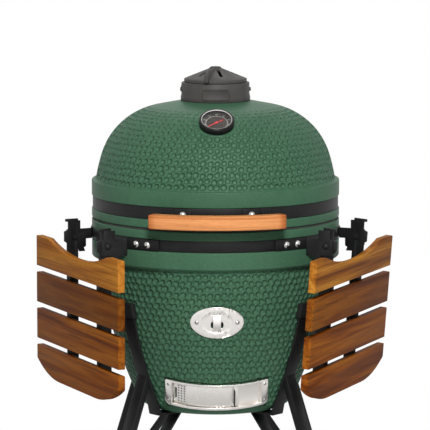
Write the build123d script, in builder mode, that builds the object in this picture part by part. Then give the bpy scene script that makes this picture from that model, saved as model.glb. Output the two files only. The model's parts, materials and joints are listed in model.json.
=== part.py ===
from build123d import *
import os
from math import asin, atan2, cos, degrees, hypot, pi, radians, sin, sqrt, tan

# Ceramic kamado charcoal grill on a four-legged stand, with two folding side shelves.
# Millimetres, +Z up. The origin is on the floor under the axis of the body and the front faces -Y.
# Azimuths are degrees from the front towards +X, so the shelf on the left of the front view is at -65.9.

# Fits
seat_gap = 0.3            # pieces that sit on each other
running_gap = 0.05        # pins and bolts in the holes that turn on them
slide_gap = 2.2           # sheet pieces that slide past each other

# Ceramic body
rim_radius = 265.0        # outside of both flanges
rim_wall = 30.0
seam_height = 838.0       # middle of the joint between lid and base
gasket_thickness = 2.35
gasket_width = 24.0

# Lower ceramic body
base_bottom = 430.0
base_floor_radius = 132.0
base_floor_thickness = 28.0
base_wall = 26.0
corner_radius = 167.0     # foot of the side curve
corner_rise = 17.0
shoulder_inset = 13.0     # head of the side curve inside the rim
shoulder_drop = 87.0      # shoulder below the seam
shoulder_slope = 15.0     # height of the slope from the shoulder out to the flange
side_bulge = 13.0         # side curve's height over its chord

# Ceramic lid
lid_wall = 26.0
lid_flange_rise = 81.0    # top of the lid flange over the seam
lid_flange_round = 6.0
dome_foot_inset = 8.4     # foot of the dome inside the rim
dome_foot_length = 11.0
dome_lean = 11.0          # degrees from upright at the foot of the dome
flank_radius = 420.0
flank_turn = 6.0
crown_radius = 150.0
crown_turn = 62.0
flue_radius = 55.0
flue_seat_width = 20.0

# Clamping bands
band_groove_depth = 5.0
band_thickness = 2.7
band_half_split = 1.5     # degrees of the split at the back, each side
base_band_drop = 33.0
base_band_width = 23.8
lid_band_rise = 34.0
lid_band_width = 26.6
band_foot_thickness = 4.0
band_foot_margin = 0.7    # foot is this much narrower than its band, each side

# Domed fasteners
bolt_head_radius = 7.3
bolt_head_height = 6.0
bolt_shank_radius = 3.0
bolt_hole_gap = 0.15
plate_screw_radius = 4.5
plate_screw_height = 2.6
plate_screw_shank = 2.0

# Wooden lid handle
handle_reach = 33.0       # middle of the handle outside the rim
handle_depth = 26.0
handle_height = 30.0
handle_rise = 22.0        # middle of the handle over the seam
handle_half_angle = 27.4
handle_round = 4.0
handle_nut_azimuth = 15.5
handle_foot_half = 4.0    # degrees
handle_web_azimuth = 20.0
handle_pad_end = 25.0
handle_strap = 3.0

# Chimney
collar_radius = 72.5
collar_foot_radius = 74.2
collar_foot_height = 8.0
collar_height = 39.0
collar_wall = 11.0
collar_web = 5.0
collar_panel_width = 56.0
collar_panel_height = 24.0
collar_panel_proud = 2.4
collar_panel_border = 2.6
collar_panel_rise = 17.0
collar_pin_radius = 4.0
collar_pin_proud = 3.0
collar_pin_rise = 24.0
cap_radius = 67.0
cap_rim_height = 7.5
cap_peak_height = 33.0
cap_crown_radius = 14.0
cap_wall = 4.0
cap_hub_radius = 8.0
cap_slot_count = 6
cap_slot_reach = 33.0
cap_slot_length = 34.0
cap_slot_width = 6.5
cap_fin_azimuth = -15.6
cap_fin_width = 8.0
cap_fin_reach = 78.0
cap_fin_lift = 3.0
cap_fin_height = 26.0
cap_bolt_radius = 3.0
cap_bolt_head = 6.0
cap_bolt_head_height = 4.0

# Thermometer in the lid
gauge_lean = 57.5         # elevation of its axis
gauge_radius = 37.0
gauge_depth = 14.2
gauge_sink = 4.5          # flat seat below the top of the dome's curve
gauge_seat_margin = 1.0
gauge_back = 2.5
gauge_wall = 3.0
gauge_lip_width = 6.0
gauge_lip_height = 1.6
gauge_glass = 1.5
gauge_dial = 1.0
gauge_stem_radius = 4.0
gauge_stem_length = 95.0
gauge_stem_gap = 1.0
gauge_pin_radius = 1.0
needle_hub_radius = 3.2
needle_hub_height = 1.6
needle_length = 22.5
needle_tail = 16.0
needle_width = 3.0
needle_tip = 1.6
needle_thickness = 0.8
needle_azimuth = -125.0   # turn of the pointer from the top of the dial, seen from the front

# Oval starter port plate
port_drop = 195.0         # middle of the plate below the seam
port_width = 112.0
port_tall = 70.0
port_plate = 2.0
port_hole_radius = 16.0
port_screw_azimuth = 10.3
dish_width = 66.0         # pressed oval in the plate
dish_tall = 46.0
dish_depth = 0.7
hood_width = 16.5         # bowed strip over the port window
hood_tall = 35.0
hood_proud = 7.5
hood_crest = 3.0
hood_wall = 1.5
port_window_width = 26.0
port_window_tall = 14.0
port_window_drop = 5.0
port_window_round = 4.0

# Sliding air intake, curved about a tilted axis
draft_height = 478.0
draft_tilt = 17.5
draft_recess = 6.0        # seat below the ceramic surface at the middle
draft_radius = 181.0
draft_half_angle = 34.4
draft_half_height = 29.5
draft_foot_round = 12.0
draft_head_round = 5.0
draft_margin = 1.0
draft_sheet = 1.2
draft_rail_depth = 5.5
draft_end_angle = 5.0
window_start = -28.5
window_end = -1.0
window_half_height = 20.0
door_start = -20.0
door_end = 14.0
door_tab_azimuth = 11.0
door_tab_proud = 13.0
door_tab_half_height = 19.0
screen_start = -29.0
screen_end = 1.0
screen_hole_radius = 1.6
screen_hole_pitch = 2.0   # degrees
screen_hole_rows = 7
screen_hole_columns = 12
screen_hole_start = -25.4 # first column
screen_row_pitch = 6.0
finger_slot_azimuth = -27.6
finger_slot_tall = 25.0
finger_slot_width = 5.5

# Inside
fire_box_foot_radius = 120.0
fire_box_waist_radius = 128.0
fire_box_waist_rise = 52.0
fire_box_top_radius = 178.0
fire_box_height = 182.0
fire_box_wall = 20.0
grate_ledge_rise = 48.0
grate_ledge_width = 14.0
grate_thickness = 9.0
grate_slot_width = 9.0
grate_slot_pitch = 24.0
grate_slot_count = 8
fire_ring_drop = 47.0     # top of the ring below the seam
fire_ring_clearance = 9.0 # ring inside the rim's wall
fire_ring_wall = 20.0
cooking_wire = 4.0
cooking_pitch = 27.0
cooking_bars = 7          # on each side of the middle bar
cooking_cross = 110.0

# Rear hinge
hinge_reach = 51.0        # pin behind the rim
hinge_rise = 2.0          # pin over the seam
hinge_pin_radius = 6.0
hinge_pin_head = 9.0
hinge_pin_head_length = 5.0
knuckle_radius = 14.0
ear_thickness = 4.0
base_ear_place = 60.0
lid_ear_place = 48.0
hinge_foot_half = 16.0    # degrees
hinge_bolt_half = 5.0     # degrees
crossbar_radius = 3.0
crossbar_reach = 32.0
spring_wire = 1.75        # radius
spring_radius = 12.0
spring_pitch = 4.2
spring_turns = 5
spring_leg = 44.0
spring_start = 8.0
spring_rest_gap = 0.35
ear_clearance = 0.5

# Folding shelves
shelf_azimuth = 65.9
shelf_reach = 26.0        # pivot outside the rim
shelf_pivot_drop = 6.0    # pivot below the middle of the base band
left_hang = 0.0
right_hang = -4.5
slat_length = 450.0
slat_width = 66.0
slat_thickness = 16.0
slat_count = 4
slat_gap = 13.6
slat_face = 17.0          # back of the slats outside the pivot
slat_drop = 12.0          # top of the first slat below the pivot
slat_edge = 1.5
slat_hollow = 25.0
slat_flat = 62.0
slat_corner_length = 125.0
slat_corner_rise = 36.0
arm_place = 90.0
arm_plate = 4.0
arm_back = -9.0
arm_flange = 20.0
arm_end = 18.0            # arm stops this far above the lower edge of the last slat
arm_tongue = 38.0         # top of the arm over the pivot
arm_neck = 14.0
arm_beak = 6.0
arm_bulge = 23.0          # outer edge beside the pivot
arm_bulge_high = 15.0
arm_bulge_low = 10.0
arm_bulge_slope = 4.0
bracket_plate = 4.0
bracket_nose = 15.0       # outer edge from the pivot
bracket_shoulder = 15.0   # upper edge over the pivot
bracket_belly = 20.0      # lower edge below the pivot
bracket_notch = 7.0       # lower edge of a rear bracket beside the body
bracket_step = -29.0      # where that edge steps down
horn_outside = 10.0       # upright lug over the pivot
horn_inside = -16.0
horn_top = 33.0
hook_outside = -10.0      # hooked stop below the inner end
hook_inside = -27.0
hook_throat = 3.0
hook_drop = 34.0
bracket_gap = 0.6
bracket_foot_turn = 18.0  # degrees of the foot on the band, from the plate
bracket_bolt_one = 12.2   # degrees from the plate
bracket_bolt_two = 6.1
pivot_radius = 4.0
pivot_head = 6.5
pivot_head_height = 4.5
pivot_nut_height = 5.0

# Stand
leg_azimuth = 50.0
strap_width = 35.0
strap_thickness = 5.0
strap_cap_wall = 3.0
strap_cap_height = 32.0
strap_cap_top = 4.0
strap_drop = 168.0        # top of the straps below the seam
ledge_reach = 70.0
hub_radius = 80.0
hub_thickness = 3.0
leg_width = 31.0
leg_depth = 14.0
leg_wall = 2.0
leg_splay = 20.5
leg_top = 504.0
brace_top_radius = 111.0
brace_meet = 177.0
brace_width = 30.0
brace_thickness = 5.0
foot_length = 54.0
foot_width = 36.0
foot_height = 14.0
foot_round = 8.0
foot_plug = 30.0

# Heights that follow from the values above
rim_top = seam_height - seat_gap / 2 - gasket_thickness
lid_lip = seam_height + seat_gap / 2 + gasket_thickness
shoulder_height = seam_height - shoulder_drop
corner_height = base_bottom + corner_rise
base_floor = base_bottom + base_floor_thickness
lid_flange_top = seam_height + lid_flange_rise
base_band_height = seam_height - base_band_drop
lid_band_height = seam_height + lid_band_rise
handle_height_middle = seam_height + handle_rise
handle_radius = rim_radius + handle_reach
port_height = seam_height - port_drop
fire_ring_top = seam_height - fire_ring_drop
fire_ring_top_radius = rim_radius - rim_wall - fire_ring_clearance
strap_top = seam_height - strap_drop
groove_radius = rim_radius - band_groove_depth
band_inside = groove_radius + seat_gap
band_outside = band_inside + band_thickness
foot_inside = band_outside + seat_gap
foot_outside = foot_inside + band_foot_thickness

# Side curve of the base: a circle over the chord from corner to shoulder
shoulder_radius = rim_radius - shoulder_inset
chord_out = shoulder_radius - corner_radius
chord_up = shoulder_height - corner_height
chord = hypot(chord_out, chord_up)
side_circle = (chord ** 2 / 4 + side_bulge ** 2) / (2 * side_bulge)
side_centre_out = (corner_radius + shoulder_radius) / 2 - (side_circle - side_bulge) * chord_up / chord
side_centre_up = (corner_height + shoulder_height) / 2 + (side_circle - side_bulge) * chord_out / chord

# Dome curve: a straight foot, a wide flank and a tight crown, each tangent to the last
dome_foot_radius = rim_radius - dome_foot_inset
flank_lean = dome_lean + flank_turn
crown_lean = flank_lean + crown_turn
flank_foot = (
    dome_foot_radius - dome_foot_length * sin(radians(dome_lean)),
    lid_flange_top + dome_foot_length * cos(radians(dome_lean)),
)
crown_foot = (
    flank_foot[0] + flank_radius * (cos(radians(flank_lean)) - cos(radians(dome_lean))),
    flank_foot[1] + flank_radius * (sin(radians(flank_lean)) - sin(radians(dome_lean))),
)
crown_centre = (
    crown_foot[0] - crown_radius * cos(radians(flank_lean)),
    crown_foot[1] - crown_radius * sin(radians(flank_lean)),
)
flue_seat_radius = flue_radius + flue_seat_width
crown_end = (
    crown_centre[0] + crown_radius * cos(radians(crown_lean)),
    crown_centre[1] + crown_radius * sin(radians(crown_lean)),
)
flue_seat = crown_end[1] + (crown_end[0] - flue_seat_radius) / tan(radians(crown_lean))

os.makedirs("parts", exist_ok=True)


def write_piece(piece, name):
    """Label one finished piece and write it as its own file."""
    piece.label = name
    export_step(piece, f"parts/{name}.step")


def outward(azimuth):
    """Unit vector that points away from the axis of the body."""
    return Vector(sin(radians(azimuth)), -cos(radians(azimuth)), 0)


def radial_plane(azimuth, radius=0.0, height=0.0):
    """Upright plane through the axis: x outward, y up."""
    out = outward(azimuth)
    origin = out * radius + Vector(0, 0, height)
    return Plane(origin=origin, x_dir=out, z_dir=out.cross(Vector(0, 0, 1)))


def facing_plane(azimuth, radius, height):
    """Upright plane that faces outward: x along the tangent, y up."""
    out = outward(azimuth)
    return Plane(origin=out * radius + Vector(0, 0, height), x_dir=Vector(0, 0, 1).cross(out), z_dir=out)


def turned(plane, angle):
    """The plane turned about its own z axis."""
    return Plane(plane.location * Location((0, 0, 0), (0, 0, angle)))


def side_radius(height, offset=0.0):
    """Radius of the base's side curve at a height, moved outward by an offset."""
    return side_centre_out + sqrt((side_circle + offset) ** 2 - (height - side_centre_up) ** 2)


def side_plane(azimuth, height, offset=0.0):
    """Plane that lies on the base's side: x along the tangent, z along the outward normal."""
    radius = side_radius(height, offset)
    lean = atan2(height - side_centre_up, radius - side_centre_out)
    out = outward(azimuth)
    normal = out * cos(lean) + Vector(0, 0, sin(lean))
    return Plane(origin=out * radius + Vector(0, 0, height), x_dir=Vector(0, 0, 1).cross(out), z_dir=normal)


def side_points(low, high, offset):
    """Foot, middle and head of a stretch of the base's side curve."""
    middle = (low + high) / 2
    return [(side_radius(height, offset), height) for height in (low, middle, high)]


def arc_plate(plane, inner, outer, start, end, low, high):
    """Plate curved about the plane's z axis, between two azimuths and two heights."""
    with BuildPart() as plate:
        with BuildSketch(plane.offset(low)):
            with BuildLine():
                outer_arc = CenterArc((0, 0), outer, start - 90, end - start)
                inner_arc = CenterArc((0, 0), inner, start - 90, end - start)
                Line(outer_arc @ 0, inner_arc @ 0)
                Line(outer_arc @ 1, inner_arc @ 1)
            make_face()
        extrude(amount=high - low)
    return plate.part


def domed_fastener(head_radius, head_height, shank_radius, shank_length):
    """Domed head on the XY plane with its shank below it."""
    with BuildPart() as fastener:
        with BuildSketch(Plane.XZ):
            with BuildLine():
                Polyline(
                    (0, head_height),
                    (0, -shank_length),
                    (shank_radius, -shank_length),
                    (shank_radius, 0),
                    (head_radius, 0),
                    (head_radius, head_height / 4),
                )
                TangentArc((0, head_height), (head_radius, head_height / 4), tangent=(1, 0))
            make_face()
        revolve(axis=Axis.Z)
    return fastener.part


# Ceramic shells

draft_tilt_out = cos(radians(draft_tilt))
draft_tilt_up = sin(radians(draft_tilt))
draft_seat_radius = side_radius(draft_height) - draft_recess
draft_axis_out = draft_radius * draft_tilt_out - draft_seat_radius
draft_plane = Plane(
    origin=(0, draft_axis_out, draft_height + draft_radius * draft_tilt_up),
    x_dir=(1, 0, 0),
    z_dir=(0, -draft_tilt_up, draft_tilt_out),
)
port_plane = side_plane(0, port_height)

with BuildPart() as base_shell:
    with BuildSketch(Plane.XZ):
        with BuildLine():
            Line((0, base_bottom), (base_floor_radius, base_bottom))
            TangentArc((base_floor_radius, base_bottom), (corner_radius, corner_height), tangent=(1, 0))
            ThreePointArc(*side_points(corner_height, shoulder_height, 0))
            Polyline(
                (shoulder_radius, shoulder_height),
                (rim_radius, shoulder_height + shoulder_slope),
                (rim_radius, base_band_height - base_band_width / 2 - seat_gap),
                (groove_radius, base_band_height - base_band_width / 2 - seat_gap),
                (groove_radius, base_band_height + base_band_width / 2 + seat_gap),
                (rim_radius, base_band_height + base_band_width / 2 + seat_gap),
                (rim_radius, rim_top),
                (rim_radius - rim_wall, rim_top),
                (side_radius(shoulder_height, -base_wall), shoulder_height),
            )
            ThreePointArc(*side_points(base_floor, shoulder_height, -base_wall))
            Polyline((side_radius(base_floor, -base_wall), base_floor), (0, base_floor), (0, base_bottom))
        make_face()
    revolve(axis=Axis.Z)
    add(
        arc_plate(
            draft_plane,
            draft_radius,
            draft_radius + base_wall,
            -draft_half_angle - draft_margin,
            draft_half_angle + draft_margin,
            -draft_half_height - draft_margin,
            draft_half_height + draft_margin,
        ),
        mode=Mode.SUBTRACT,
    )
    add(
        arc_plate(
            draft_plane,
            draft_radius - 2 * base_wall,
            draft_radius + base_wall,
            window_start,
            window_end,
            -window_half_height,
            window_half_height,
        ),
        mode=Mode.SUBTRACT,
    )
    with Locations(port_plane):
        Hole(port_hole_radius, depth=2 * base_wall)
write_piece(base_shell.part, "base_shell")

gauge_out = cos(radians(gauge_lean))
gauge_up = sin(radians(gauge_lean))
gauge_seat = crown_radius - gauge_sink
gauge_plane = Plane(
    origin=(0, -crown_centre[0] - gauge_seat * gauge_out, crown_centre[1] + gauge_seat * gauge_up),
    x_dir=(1, 0, 0),
    z_dir=(0, -gauge_out, gauge_up),
)


def lean_vector(lean):
    """Direction along the dome curve where it leans this far from upright."""
    return (-sin(radians(lean)), cos(radians(lean)))


with BuildPart() as lid_shell:
    with BuildSketch(Plane.XZ):
        with BuildLine():
            Polyline(
                (rim_radius - rim_wall, lid_lip),
                (rim_radius, lid_lip),
                (rim_radius, lid_band_height - lid_band_width / 2 - seat_gap),
                (groove_radius, lid_band_height - lid_band_width / 2 - seat_gap),
                (groove_radius, lid_band_height + lid_band_width / 2 + seat_gap),
                (rim_radius, lid_band_height + lid_band_width / 2 + seat_gap),
                (rim_radius, lid_flange_top - lid_flange_round),
            )
            TangentArc(
                (rim_radius, lid_flange_top - lid_flange_round),
                (rim_radius - lid_flange_round, lid_flange_top),
                tangent=(0, 1),
            )
            Polyline(
                (rim_radius - lid_flange_round, lid_flange_top),
                (dome_foot_radius, lid_flange_top),
                flank_foot,
            )
            JernArc(flank_foot, lean_vector(dome_lean), flank_radius, flank_turn)
            JernArc(crown_foot, lean_vector(flank_lean), crown_radius, crown_turn)
            inner_flank_foot = (
                flank_foot[0] - lid_wall * cos(radians(dome_lean)),
                flank_foot[1] - lid_wall * sin(radians(dome_lean)),
            )
            inner_crown_foot = (
                crown_foot[0] - lid_wall * cos(radians(flank_lean)),
                crown_foot[1] - lid_wall * sin(radians(flank_lean)),
            )
            inner_crown_end = (
                crown_end[0] - lid_wall * cos(radians(crown_lean)),
                crown_end[1] - lid_wall * sin(radians(crown_lean)),
            )
            flue_foot = inner_crown_end[1] + (inner_crown_end[0] - flue_radius) / tan(radians(crown_lean))
            Polyline(
                crown_end,
                (flue_seat_radius, flue_seat),
                (flue_radius, flue_seat),
                (flue_radius, flue_foot),
                inner_crown_end,
            )
            JernArc(inner_crown_foot, lean_vector(flank_lean), crown_radius - lid_wall, crown_turn)
            JernArc(inner_flank_foot, lean_vector(dome_lean), flank_radius - lid_wall, flank_turn)
            Line(inner_flank_foot, (rim_radius - rim_wall, lid_lip))
        make_face()
    revolve(axis=Axis.Z)
    with BuildSketch(gauge_plane):
        Circle(gauge_radius + gauge_seat_margin)
    extrude(amount=2 * gauge_sink, mode=Mode.SUBTRACT)
    with Locations(gauge_plane):
        Hole(gauge_stem_radius + gauge_stem_gap, depth=2 * lid_wall)
write_piece(lid_shell.part, "lid_shell")

# Felt rings at the seam

gasket_middle = rim_radius - rim_wall / 2
for name, low in (("base_gasket", rim_top), ("lid_gasket", lid_lip - gasket_thickness)):
    with BuildPart() as gasket:
        with BuildSketch(Plane.XY.offset(low)):
            Circle(gasket_middle + gasket_width / 2)
            Circle(gasket_middle - gasket_width / 2, mode=Mode.SUBTRACT)
        extrude(amount=gasket_thickness)
    write_piece(gasket.part, name)

# Clamping bands, split at the back

for name, middle, width in (
    ("base_band", base_band_height, base_band_width),
    ("lid_band", lid_band_height, lid_band_width),
):
    band = arc_plate(
        Plane.XY,
        band_inside,
        band_outside,
        band_half_split - 180,
        180 - band_half_split,
        middle - width / 2,
        middle + width / 2,
    )
    write_piece(band, name)


def band_foot(start, end, middle, width):
    """Curved foot that lies on a clamping band."""
    half = width / 2 - band_foot_margin
    return arc_plate(Plane.XY, foot_inside, foot_outside, start, end, middle - half, middle + half)


def body_clearance():
    """Upright cylinder just outside the ceramic rim, to trim plates that stand beside it."""
    with BuildPart() as clearance:
        with BuildSketch(Plane.XY.offset(base_bottom)):
            Circle(rim_radius + ear_clearance)
        extrude(amount=flue_seat - base_bottom)
    return clearance.part


bolt_hole_radius = bolt_shank_radius + bolt_hole_gap
trim = body_clearance()

# Wooden handle, its two bent straps and their nuts

with BuildPart() as lid_handle:
    with BuildSketch(radial_plane(-handle_half_angle)):
        with Locations((handle_radius, handle_height_middle)):
            RectangleRounded(handle_depth, handle_height, handle_round)
    revolve(axis=Axis.Z, revolution_arc=2 * handle_half_angle)
write_piece(lid_handle.part, "lid_handle")

handle_back = handle_radius - handle_depth / 2 - seat_gap
handle_pad_half = handle_height / 2 - handle_round
handle_web_middle = lid_band_height - lid_band_width / 2 + band_foot_margin
with BuildPart() as handle_brackets:
    for side in (-1, 1):
        foot_from = side * (handle_nut_azimuth - handle_foot_half)
        web_at = side * handle_web_azimuth
        pad_to = side * handle_pad_end
        add(band_foot(min(foot_from, web_at), max(foot_from, web_at), lid_band_height, lid_band_width))
        add(
            arc_plate(
                Plane.XY,
                handle_back - handle_strap,
                handle_back,
                min(web_at, pad_to),
                max(web_at, pad_to),
                handle_height_middle - handle_pad_half,
                handle_height_middle + handle_pad_half,
            )
        )
        with BuildSketch(radial_plane(web_at)):
            with BuildLine():
                Polyline(
                    (foot_inside + handle_strap / 2, handle_web_middle),
                    (handle_back - handle_strap / 2, handle_height_middle - handle_pad_half),
                    (handle_back - handle_strap / 2, handle_height_middle + handle_pad_half),
                    (foot_inside + handle_strap / 2, lid_band_height + lid_band_width / 2 - band_foot_margin),
                    close=True,
                )
            make_face()
        extrude(amount=handle_strap / 2, both=True)
        with Locations(facing_plane(side * handle_nut_azimuth, foot_outside, lid_band_height)):
            Hole(bolt_hole_radius, depth=2 * band_foot_thickness)
write_piece(handle_brackets.part, "handle_brackets")

band_bolt = domed_fastener(bolt_head_radius, bolt_head_height, bolt_shank_radius, band_foot_thickness)
lid_nut_azimuths = (-handle_nut_azimuth, handle_nut_azimuth, 180 - hinge_bolt_half, 180 + hinge_bolt_half)
with BuildPart() as handle_nuts:
    with Locations(*[facing_plane(azimuth, foot_outside, lid_band_height) for azimuth in lid_nut_azimuths]):
        add(band_bolt)
write_piece(handle_nuts.part, "handle_nuts")

# Chimney collar, cap and the bolt that the cap turns on

collar_foot = flue_seat + seat_gap
collar_top = collar_foot + collar_height
cap_bottom = collar_top + seat_gap
cap_peak = cap_bottom + cap_peak_height
slot_azimuth = cap_fin_azimuth + 180 / cap_slot_count

with BuildPart() as vent_collar:
    with BuildSketch(Plane.XZ):
        with BuildLine():
            Polyline(
                (collar_radius - collar_wall, collar_foot),
                (collar_foot_radius, collar_foot),
                (collar_foot_radius, collar_foot + collar_foot_height),
                (collar_radius, collar_foot + 2 * collar_foot_height),
                (collar_radius, collar_top),
                (0, collar_top),
                (0, collar_top - collar_web),
                (collar_radius - collar_wall, collar_top - collar_web),
                close=True,
            )
        make_face()
    revolve(axis=Axis.Z)
    with BuildSketch(Plane.XY.offset(collar_top)):
        with PolarLocations(cap_slot_reach, cap_slot_count, start_angle=slot_azimuth - 90):
            SlotOverall(cap_slot_length, cap_slot_width)
        Circle(cap_bolt_radius + running_gap)
    extrude(amount=-collar_web, mode=Mode.SUBTRACT)
    panel_angle = degrees(collar_panel_width / 2 / collar_radius)
    add(
        arc_plate(
            Plane.XY,
            collar_radius - collar_panel_proud,
            collar_radius + collar_panel_proud,
            -panel_angle,
            panel_angle,
            collar_foot + collar_panel_rise - collar_panel_height / 2,
            collar_foot + collar_panel_rise + collar_panel_height / 2,
        )
    )
    border_angle = degrees(collar_panel_border / collar_radius)
    field_half = collar_panel_height / 2 - collar_panel_border
    add(
        arc_plate(
            Plane.XY,
            collar_radius + collar_panel_proud / 2,
            collar_radius + 2 * collar_panel_proud,
            border_angle - panel_angle,
            panel_angle - border_angle,
            collar_foot + collar_panel_rise - field_half,
            collar_foot + collar_panel_rise + field_half,
        ),
        mode=Mode.SUBTRACT,
    )
    pin_height = collar_foot + collar_pin_rise
    with BuildSketch(*[facing_plane(side * 90, collar_radius, pin_height) for side in (-1, 1)]):
        Circle(collar_pin_radius)
    extrude(amount=collar_pin_proud, both=True)
write_piece(vent_collar.part, "vent_collar")

cap_shoulder = cap_bottom + cap_rim_height
cone_slope = (cap_peak - cap_wall - cap_shoulder) / (cap_radius - cap_crown_radius)
cap_inside = cap_radius - cap_wall
cap_bolt_top = cap_peak - 2 * cap_wall
with BuildPart() as vent_cap:
    with BuildSketch(Plane.XZ):
        with BuildLine():
            Polyline(
                (cap_bolt_radius + running_gap, cap_bottom),
                (cap_hub_radius, cap_bottom),
                (cap_hub_radius, cap_shoulder - cap_wall + cone_slope * (cap_inside - cap_hub_radius)),
                (cap_inside, cap_shoulder - cap_wall),
                (cap_inside, cap_bottom),
                (cap_radius, cap_bottom),
                (cap_radius, cap_shoulder),
                (cap_crown_radius, cap_peak - cap_wall),
                (cap_crown_radius - cap_wall, cap_peak),
                (0, cap_peak),
                (0, cap_bolt_top + seat_gap),
                (cap_bolt_radius + running_gap, cap_bolt_top + seat_gap),
                close=True,
            )
        make_face()
    revolve(axis=Axis.Z)
    with BuildSketch(Plane.XY.offset(cap_bottom)):
        with PolarLocations(cap_slot_reach, cap_slot_count, start_angle=slot_azimuth - 90):
            SlotOverall(cap_slot_length, cap_slot_width)
    extrude(amount=cap_peak_height, mode=Mode.SUBTRACT)
    with BuildSketch(radial_plane(cap_fin_azimuth)):
        with BuildLine():
            Polyline(
                (cap_hub_radius, cap_peak - 2 * cap_wall),
                (cap_radius - cap_wall, cap_bottom + cap_fin_lift),
                (cap_fin_reach, cap_bottom + cap_fin_lift),
                (cap_fin_reach, cap_bottom + cap_fin_lift + cap_fin_height),
                (cap_crown_radius, cap_bottom + cap_fin_lift + cap_fin_height),
                close=True,
            )
        make_face()
    extrude(amount=cap_fin_width / 2, both=True)
write_piece(vent_cap.part, "vent_cap")

with BuildPart() as vent_pivot_bolt:
    web_bottom = collar_top - collar_web
    with BuildSketch(Plane.XY.offset(web_bottom - cap_bolt_head_height - seat_gap)):
        RegularPolygon(cap_bolt_head, 6)
    extrude(amount=cap_bolt_head_height)
    with BuildSketch(Plane.XY.offset(web_bottom - seat_gap)):
        Circle(cap_bolt_radius)
    extrude(amount=cap_bolt_top - web_bottom + seat_gap)
write_piece(vent_pivot_bolt.part, "vent_pivot_bolt")

# Thermometer: case with stem, dial, needle on its pin and glass

case_bottom = seat_gap
case_top = case_bottom + gauge_depth
case_inside = gauge_radius - gauge_wall
glass_top = case_top - gauge_lip_height - seat_gap
dial_bottom = case_bottom + gauge_back + seat_gap
dial_top = dial_bottom + gauge_dial
pin_top = glass_top - gauge_glass - 2 * seat_gap

with BuildPart() as thermometer_case:
    with BuildSketch(gauge_plane.offset(case_bottom)):
        Circle(gauge_radius)
    extrude(amount=gauge_depth)
    with BuildSketch(gauge_plane.offset(case_bottom + gauge_back)):
        Circle(case_inside)
    extrude(amount=gauge_depth - gauge_back - gauge_lip_height, mode=Mode.SUBTRACT)
    with BuildSketch(gauge_plane.offset(case_top)):
        Circle(gauge_radius - gauge_lip_width)
    extrude(amount=-gauge_lip_height, mode=Mode.SUBTRACT)
    with BuildSketch(gauge_plane.offset(case_bottom)):
        Circle(gauge_stem_radius)
    extrude(amount=-gauge_stem_length)
    with BuildSketch(gauge_plane.offset(case_bottom + gauge_back)):
        Circle(gauge_pin_radius)
    extrude(amount=pin_top - case_bottom - gauge_back)
write_piece(thermometer_case.part, "thermometer_case")

with BuildPart() as thermometer_dial:
    with BuildSketch(gauge_plane.offset(dial_bottom)):
        Circle(case_inside - seat_gap)
        Circle(gauge_pin_radius + seat_gap, mode=Mode.SUBTRACT)
    extrude(amount=gauge_dial)
write_piece(thermometer_dial.part, "thermometer_dial")

with BuildPart() as thermometer_glass:
    with BuildSketch(gauge_plane.offset(glass_top)):
        Circle(case_inside - seat_gap)
    extrude(amount=-gauge_glass)
write_piece(thermometer_glass.part, "thermometer_glass")

with BuildPart() as thermometer_needle:
    with BuildSketch(gauge_plane.offset(dial_top + 2 * seat_gap)):
        Circle(needle_hub_radius)
        Circle(gauge_pin_radius + running_gap, mode=Mode.SUBTRACT)
    extrude(amount=needle_hub_height)
    pointer_plane = turned(gauge_plane.offset(dial_top + 2 * seat_gap), -needle_azimuth)
    with BuildSketch(pointer_plane):
        with BuildLine():
            Polyline(
                (-needle_width / 2, -needle_tail),
                (needle_width / 2, -needle_tail),
                (needle_width / 2, 0),
                (needle_tip / 2, needle_length),
                (-needle_tip / 2, needle_length),
                (-needle_width / 2, 0),
                close=True,
            )
        make_face()
        Circle(needle_hub_radius - needle_thickness, mode=Mode.SUBTRACT)
    extrude(amount=needle_thickness)
write_piece(thermometer_needle.part, "thermometer_needle")

# Oval starter port plate with its pressed hood, and two screws

def oval_plate(width, tall, inner_offset, outer_offset):
    """Oval plate round the starter port that follows the side of the base."""
    with BuildPart() as oval:
        with BuildSketch(Plane.XZ):
            with BuildLine():
                inner_side = ThreePointArc(*side_points(port_height - tall, port_height + tall, inner_offset))
                outer_side = ThreePointArc(*side_points(port_height - tall, port_height + tall, outer_offset))
                Line(inner_side @ 0, outer_side @ 0)
                Line(inner_side @ 1, outer_side @ 1)
            make_face()
        revolve(axis=Axis.Z)
        with BuildSketch(port_plane):
            Ellipse(width / 2, tall / 2)
        extrude(amount=width / 4, both=True, mode=Mode.INTERSECT)
    return oval.part


plate_face = seat_gap + port_plate
dish_face = plate_face - dish_depth
hood_root = dish_face - dish_depth
hood_plane = Plane(origin=port_plane.origin, x_dir=port_plane.z_dir, z_dir=-port_plane.x_dir)
with BuildPart() as starter_plate:
    add(oval_plate(port_width, port_tall, seat_gap, plate_face))
    add(oval_plate(dish_width, dish_tall, dish_face, plate_face + port_plate), mode=Mode.SUBTRACT)
    with BuildSketch(port_plane):
        with Locations((0, -port_window_drop)):
            RectangleRounded(port_window_width, port_window_tall, port_window_round)
    extrude(amount=2 * plate_face, both=True, mode=Mode.SUBTRACT)
    with BuildSketch(hood_plane):
        with BuildLine():
            outer_bow = ThreePointArc(
                (hood_root, hood_tall / 2), (dish_face + hood_proud, hood_crest), (hood_root, -hood_tall / 2)
            )
            inner_bow = ThreePointArc(
                (hood_root, hood_tall / 2 - 2 * hood_wall),
                (dish_face + hood_proud - hood_wall, hood_crest),
                (hood_root, 2 * hood_wall - hood_tall / 2),
            )
            Line(outer_bow @ 0, inner_bow @ 0)
            Line(outer_bow @ 1, inner_bow @ 1)
        make_face()
    extrude(amount=hood_width / 2, both=True)
    for side in (-1, 1):
        with Locations(side_plane(side * port_screw_azimuth, port_height, seat_gap + port_plate)):
            Hole(plate_screw_shank + bolt_hole_gap, depth=3 * port_plate)
write_piece(starter_plate.part, "starter_plate")

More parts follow.
